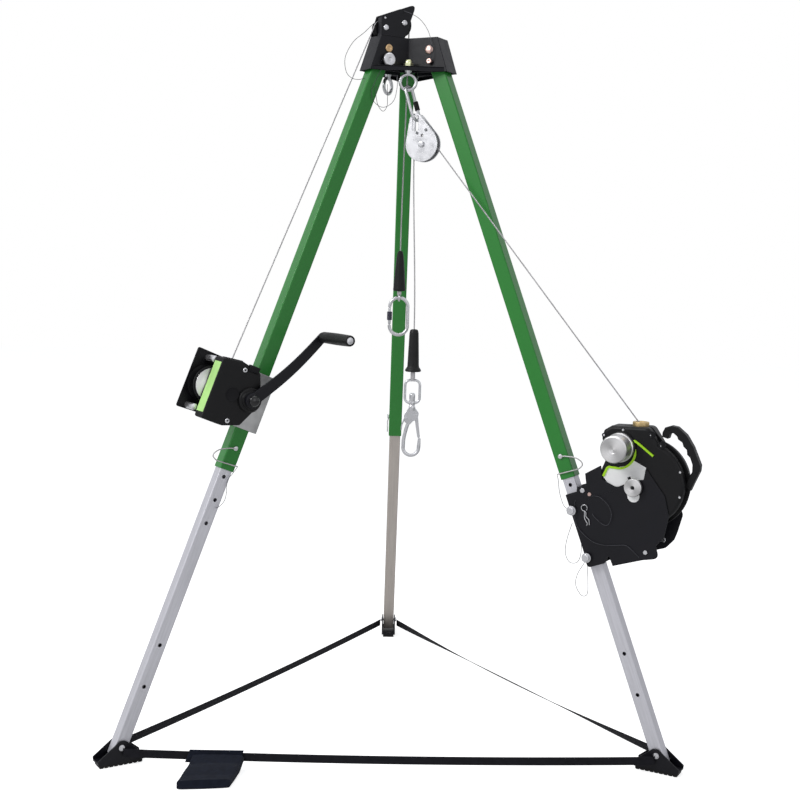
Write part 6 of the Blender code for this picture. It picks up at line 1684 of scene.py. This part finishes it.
hook_parts.append(block("web", (-0.012, -0.004, 0.999), (0.001, 0.004, 1.046), hook_base, FORGED))
hook_parts.append(block("web", (-0.0105, -0.004, 1.0325), (0.0105, 0.004, 1.046), hook_base, FORGED))
for x, z in ((0.015, 1.025), (-0.0185, 1.015)):
    hook_parts.append(solid("pin", [(0.0045, -0.0075), (0.0045, -0.0058), (0.003, -0.0055),
        (0.003, 0.0055), (0.0045, 0.0058), (0.0045, 0.0075)], side_axle(hook_base, x, z), ZINC, 24,
        0.0004))
merged("snap_hook_forging", hook_parts, "swivel_hook", "bright_steel", "swivel_hook")


def hook_swing(name, place, outline, body, node_name):
    base = shifted(hook_base, place[0], 0.0, place[1])
    fit(slab(name, outline, -0.0029, 0.0029, base, FORGED, 0.0006, [circle(0.0, 0.0, 0.0033, 24)]),
        body, "bright_steel", node_name)


hook_swing("snap_gate", (0.015, 1.025), rounded(sharp(arc((0, 0), 0.0055, 0, 180, 14))
    + [(-0.0035, -0.022, 0.004), (0.0045, -0.071, 0.002), (0.0065, -0.0755, 0.001),
    (0.0125, -0.0755, 0.001), (0.0138, -0.07, 0.002), (0.0075, -0.022, 0.004)], 4), "hook_gate",
    "hook_gate")
hook_swing("safety_lever", (-0.0185, 1.015), rounded(sharp(arc((0, 0), 0.005, -20, 160, 14))
    + [(-0.012, -0.014, 0.003), (-0.0158, -0.03, 0.003), (-0.016, -0.04, 0.001),
    (-0.0138, -0.043, 0.001), (-0.0118, -0.038, 0.001), (-0.0112, -0.026, 0.003),
    (-0.005, -0.01, 0.003)], 4), "hook_lever", "hook_lever")
print("hook dressed")

# %% [markdown]
# ## Stitches by rule
#
# A seam is one short thread set again and again along a line. The tree resamples the line at the
# stitch length and puts a thread at each point, turned the way the line runs.

# %% The stitch tree
def stitch_tree():
    tree, made, given = tree_with("stitches", Spacing="Float", Radius="Float", Length="Float",
        Finish="Material")
    spots = node(tree, "GeometryNodeCurveToPoints", {"Curve": given["Geometry"],
        "Length": given["Spacing"]}, mode="LENGTH").outputs
    thread = node(tree, "GeometryNodeMeshCylinder", {"Vertices": 6, "Radius": given["Radius"],
        "Depth": given["Length"]})
    many = node(tree, "GeometryNodeInstanceOnPoints", {"Points": spots["Points"],
        "Instance": thread.outputs["Mesh"], "Rotation": spots["Rotation"]})
    end_tree(tree, many.outputs["Instances"], given["Finish"], False)
    return tree, made


STITCH_TREE = stitch_tree()
THREAD = surface("dark_thread", (0.03, 0.032, 0.04), roughness=(0.6, 0.7), shine=0.2)


# %% [markdown]
# ## Webbing and the pouch
#
# The foot straps are flat, 25 mm wide and nearly taut, so each one is a thin band that follows the
# line between two feet with a little sag and a twist. The band's UV map is in metres, and the weave
# reads it.

# %% Foot straps
def strap_end(azimuth, other):
    base = foot_frame(azimuth)
    towards = foot_frame(other).translation - base.translation
    side = 1.0 if towards.dot(tangent(azimuth)) > 0 else -1.0
    bolt_head = 0.006
    clear = LOWER_TUBE / 2 + FOOT_WALL + bolt_head + GAP + STRAP_HALF
    return base @ Vector((-0.002, side * clear, 0.042 - FOOT_BOLT_HEIGHT))


def strap(name, first, second, twist, node_name):
    start, end = strap_end(first, second), strap_end(second, first)
    along = (end - start).normalized()
    level = Vector((-along.y, along.x, 0.0))
    steps, across, width, thick = 120, 8, 0.025, 0.0022
    shape = bmesh.new()
    rings = []
    for step in range(steps + 1):
        share = step / steps
        middle = start.lerp(end, share) - Vector((0, 0, 0.01 * 4 * share * (1 - share)))
        angle = twist * math.sin(math.pi * share)
        wide = Vector((0, 0, 1)) * math.cos(angle) + level * math.sin(angle)
        thin = along.cross(wide)
        ring, places = [], []
        for face_side in (-1.0, 1.0):
            for index in range(across + 1):
                place = face_side * (1 - index / across * 2)
                swell = 1.0 - 0.45 * abs(place) ** 6
                spot = middle + wide * place * width / 2 + thin * face_side * thick / 2 * swell
                ring.append(shape.verts.new(spot))
                places.append(place * width / 2)
        rings.append(ring)
    length = (end - start).length
    skin(shape, rings, lambda row, step: (places[step % len(places)], row / steps * length))
    made = fit(finish_mesh(name, shape, WEBBING, 60.0), "head", "webbing", node_name)
    print(name, "flat", width, round(length, 4))


strap("foot_strap_front", LEGS["left"], LEGS["right"], 0.0, "strap_front")
strap("foot_strap_left", LEGS["back"], LEGS["left"], 0.2, "strap_left")
strap("foot_strap_right", LEGS["right"], LEGS["back"], 1.2, "strap_right")

# %% [markdown]
# The pouch is a bag that lies on the floor in front of the strap and is held by a flap folded over
# it. It is lofted from cross sections: each one is a flat loop with rounded corners, a little fuller
# in the middle.

# %% Pouch
def pouch_body():
    strap_y = strap_end(LEGS["left"], LEGS["right"]).y - STRAP_HALF - GAP
    sections, around = 26, 48
    shape = bmesh.new()
    rings, places = [], []
    for step in range(sections + 1):
        share = step / sections
        forward = 0.002 + 0.16 * share
        under = max(0.0008, 0.02 * (1 - share * 3.2))
        rise = 0.027 + 0.006 * math.sin(math.pi * min(1.0, share * 1.3))
        thick = rise if share > 0.03 else rise * (0.7 + 10 * share)
        shift = 0.01 - 0.024 * share
        left, right = MIDDLE.x - 0.6 + 0.0021 + shift, MIDDLE.x - 0.45 + 0.0021 + shift
        ring, row = [], []
        for index in range(around):
            angle = 2 * math.pi * index / around
            cosine, sine = math.cos(angle), math.sin(angle)
            u = math.copysign(abs(cosine) ** 0.16, cosine)
            v = math.copysign(abs(sine) ** 0.22, sine)
            crown = 0.003 * (1 - u * u) * math.sin(math.pi * share) if v > 0 else 0.0
            wrinkle = 0.0007 * math.sin(9 * share + 5 * u) * math.sin(math.pi * share)
            x = (left + right) / 2 + u * (right - left) / 2
            skew = 0.018 * share * (u + 1) / 2
            y = strap_y - forward + skew
            z = under + thick / 2 + v * thick / 2 * (0.9 + 0.1 * (1 - u * u)) + crown + wrinkle
            ring.append(shape.verts.new((x, y, max(0.0006, z))))
            row.append((u * 0.075 + v * 0.015, forward))
        rings.append(ring)
        places.append(row)
    skin(shape, rings, lambda row, step: places[row][step % around])
    near, left, right = sections - 1, around // 3, around // 6
    line = [rings[step][left] for step in range(8, near)]
    line += [rings[near][index] for index in range(left, right - 1, -1)]
    line += [rings[step][right] for step in range(near - 1, 7, -1)]
    threads = grown("seam", [tuple(spot.co) for spot in line], *STITCH_TREE, Spacing=0.0036,
        Radius=0.00035, Length=0.0024, Finish=THREAD)
    return [finish_mesh("pouch_body", shape, CLOTH, 40.0), threads]


def pouch_flap():
    """The flap in front of the strap: a curved sheet given a thickness."""
    strap_y = strap_end(LEGS["left"], LEGS["right"]).y - STRAP_HALF - GAP
    left, right = MIDDLE.x - 0.5985, MIDDLE.x - 0.4385
    shape = bmesh.new()
    columns, rows_up = 30, 10
    grid = []
    for row in range(rows_up + 1):
        up = row / rows_up
        line = []
        for column in range(columns + 1):
            across = column / columns
            x = left + (right - left) * across - 0.012 * (1 - up)
            y = strap_y - 0.002 - 0.012 * (1 - up) ** 1.5 - 0.0012 * math.sin(across * 6.0) * (1 - up)
            z = 0.022 + 0.0345 * up + 0.0012 * math.sin(across * 4.0 + 0.5) * (1 - up)
            line.append(shape.verts.new((x, y, z)))
        grid.append(line)
    skin(shape, grid, lambda row, step: (step / columns * 0.16, row / rows_up * 0.035), capped=False,
        folded=False)
    made = finish_mesh("pouch_flap", shape, CLOTH, 40.0)
    wall = made.modifiers.new("wall", "SOLIDIFY")
    wall.thickness = 0.0016
    wall.offset = 0.0
    return settle(made)


pouch = fit(joined("cloth_pouch", pouch_body() + [pouch_flap()]), "head", "pouch_cloth", "strap_pouch")

# %% [markdown]
# ## Wire lanyards
#
# Thin wires keep the pins from being lost. Each is a smooth line through a few points in the frame of
# the part that it hangs from.

# %% Lanyards
def lanyard(name, points, body, *nodes):
    line = smooth_line(points, 0.0025)
    made = fit(laid_rope(name, line, WIRE, WIRE_STEEL, 5.0, 0.0025), body, "rope_steel", *nodes)
    print(name, "length", round(measured(line), 4))


def in_frame(base, points):
    return [base @ Vector(point) for point in points]


head_wire = in_frame(LEFT_HEAD, [(0.044, HEAD_HALF + GAP + WIRE / 2, 0.1245)])
head_wire += in_frame(upright(0.0, 0.0), [(0.005, -0.065, 2.319), (0.029, -0.07, 2.305),
    (0.051, -0.076, 2.28), (0.065, -0.085, 2.25), (0.07, -0.096, 2.22)])
head_wire += in_frame(RIGHT_HEAD, [(0.11, -0.05, -0.005), (LOCK_PLACE[0] + 0.009 + GAP + WIRE / 2,
    -0.044, LOCK_PLACE[1] + 0.003)])
lanyard("wire_of_the_head", head_wire, "head", "lanyard_head")
lanyard("wire_of_the_keeper", in_frame(LEFT_HEAD, [(0.1262, 0.03, 0.08), (0.15, 0.036, 0.074),
    (0.19, 0.04, 0.038), (0.228, 0.038, 0.004), (0.25, 0.03, -0.044), (0.242, 0.022, -0.086),
    (0.218, 0.014, -0.104), (0.19, 0.008, -0.106), (0.165, 0.005, -0.1)]), "head")
below = [(-0.0666, -0.104, 2.161), (-0.086, -0.104, 2.133), (-0.0973, -0.103, 2.1124),
    (-0.1152, -0.1, 2.0674), (-0.1112, -0.1, 2.0358), (-0.0882, -0.1, 2.0159), (-0.066, -0.1, 2.017),
    (-0.0439, -0.098, 2.0381), (-0.0354, -0.092, 2.0765), (-0.034, -0.084, 2.118)]
lanyard("wire_under_the_head", in_frame(upright(0.0, 0.0), below), "head")
inside = [(-0.102, -0.094, 2.08), (-0.102, -0.094, 2.052), (-0.0947, -0.094, 2.0205),
    (-0.0782, -0.094, 2.002), (-0.0658, -0.093, 2.0183), (-0.0649, -0.09, 2.0437),
    (-0.0655, -0.086, 2.07), (-0.0665, -0.08, 2.09)]
lanyard("wire_through_the_eye", in_frame(upright(0.0, 0.0), inside), "head")


def on_unit(points, lift=0.0045):
    """Points in front of the unit's plate. The two ends lie on the plate itself."""
    depth = UNIT_HALF + GAP + PLATE
    touch = GAP + WIRE / 2
    made = []
    for index, (x, z) in enumerate(points):
        stand = touch if index in (0, len(points) - 1) else lift
        made.append(RIGHT_LEG @ Vector((x, -depth - stand, z)))
    return made


lanyard("wire_of_the_unit", on_unit([(0.0115, -1.5063), (-0.0039, -1.5405), (-0.0077, -1.5874),
    (0.0205, -1.6374), (0.0543, -1.66), (0.0954, -1.6715), (0.1242, -1.679), (0.14, -1.7),
    (0.152, -1.724)]), "lower_leg_right", "lanyard_unit")
lanyard("wire_loop_of_the_unit", on_unit([(0.0627, -1.508), (0.0904, -1.5166), (0.1108, -1.548),
    (0.1115, -1.5802), (0.093, -1.6044), (0.0752, -1.5998), (0.0571, -1.5724), (0.051, -1.5613)],
    0.0075), "lower_leg_right")
lanyard("wire_of_the_upper_pin", on_unit([(-0.0215, -1.5711), (-0.055, -1.6152), (-0.0735, -1.6531),
    (-0.0697, -1.6834), (-0.0458, -1.69), (-0.0264, -1.671), (-0.0124, -1.6358)], 0.0035),
    "lower_leg_right")
lanyard("wire_of_the_lower_pin", on_unit([(-0.023, -1.6969), (-0.056, -1.726), (-0.0719, -1.756),
    (-0.064, -1.79), (-0.044, -1.79), (-0.028, -1.75), (-0.018, -1.709)], 0.006), "lower_leg_right")
near_face = UPPER_TUBE / 2 + 0.0035
right_pin = [(-0.0284, -1.418), (-0.031, -1.435), (-0.037, -1.46), (-0.04, -1.4815), (-0.0395, -1.5113),
    (-0.033, -1.525)]
left_pin = [(-0.0275, -1.418), (-0.02, -1.442), (-0.012, -1.4654), (-0.023, -1.5), (-0.0265, -1.526),
    (-0.018, -1.548), (-0.008, -1.556)]
for side, leg, depth, pins in (("right", RIGHT_LEG, -near_face, right_pin),
        ("left", LEFT_LEG, near_face, left_pin)):
    route = in_frame(leg, [(x, depth, z) for x, z in pins])
    lanyard(f"wire_of_the_{side}_leg_pin", route, f"upper_leg_{side}")

# %% [markdown]
# ## Light and floor
#
# The product stands on white. A large key light from the front left, a fill from the right and a soft
# top light keep the shadows pale. The world is white for the camera, bright for the rays that metal
# reflects, and dimmer for everything else.

# %% Stage
FLOOR_LIFT = 0.72


def stage_plane():
    mesh = bpy.data.meshes.new("floor")
    shape = bmesh.new()
    corners = [(-14, -9, 0), (14, -9, 0), (14, 16, 0), (-14, 16, 0)]
    shape.faces.new([shape.verts.new(corner) for corner in corners])
    shape.to_mesh(mesh)
    shape.free()
    material, tree, shader = new_finish("white_floor")
    seen = node(tree, "ShaderNodeLightPath").outputs["Is Camera Ray"]
    feed(tree, shader, {"Base Color": (0.93, 0.93, 0.93, 1.0), "Roughness": 0.9,
        "Specular IOR Level": 0.1, "Emission Color": (1.0, 1.0, 1.0, 1.0),
        "Emission Strength": maths(tree, "MULTIPLY", seen, FLOOR_LIFT)})
    mesh.materials.append(material)
    placed("floor", mesh)


def area_light(name, place, aim, size, power):
    light = bpy.data.lights.new(name, "AREA")
    light.shape = "RECTANGLE"
    light.size, light.size_y = size
    light.energy = power
    made = placed(name, light)
    made.location = place
    made.rotation_euler = (Vector(aim) - Vector(place)).to_track_quat("-Z", "Y").to_euler()


stage_plane()
area_light("key", (-4.3, -3.1, 4.6), (0.0, 0.0, 1.1), (2.4, 2.4), 185.0)
area_light("fill", (3.0, -4.6, 2.2), (0.0, 0.0, 1.2), (2.4, 3.0), 16.0)
area_light("top", (0.0, 0.6, 5.2), (0.0, 0.0, 0.5), (4.0, 4.0), 55.0)

world = bpy.data.worlds.new("studio")
bpy.context.scene.world = world
world.use_nodes = True
tree = world.node_tree
tree.nodes.clear()
path = node(tree, "ShaderNodeLightPath").outputs
layers = []
for colour, strength in (((0.8, 0.82, 0.86), 0.34), ((0.9, 0.91, 0.94), 0.85), ((1.0, 1.0, 1.0), 1.0)):
    inputs = {"Color": (*colour, 1.0), "Strength": strength}
    layers.append(node(tree, "ShaderNodeBackground", inputs).outputs["Background"])
chosen = layers[0]
for ray, layer in (("Is Glossy Ray", layers[1]), ("Is Camera Ray", layers[2])):
    chosen = node(tree, "ShaderNodeMixShader", {"Fac": path[ray], 1: chosen,
        2: layer}).outputs["Shader"]
node(tree, "ShaderNodeOutputWorld", {"Surface": chosen})
bpy.context.scene.view_settings.view_transform = "Standard"
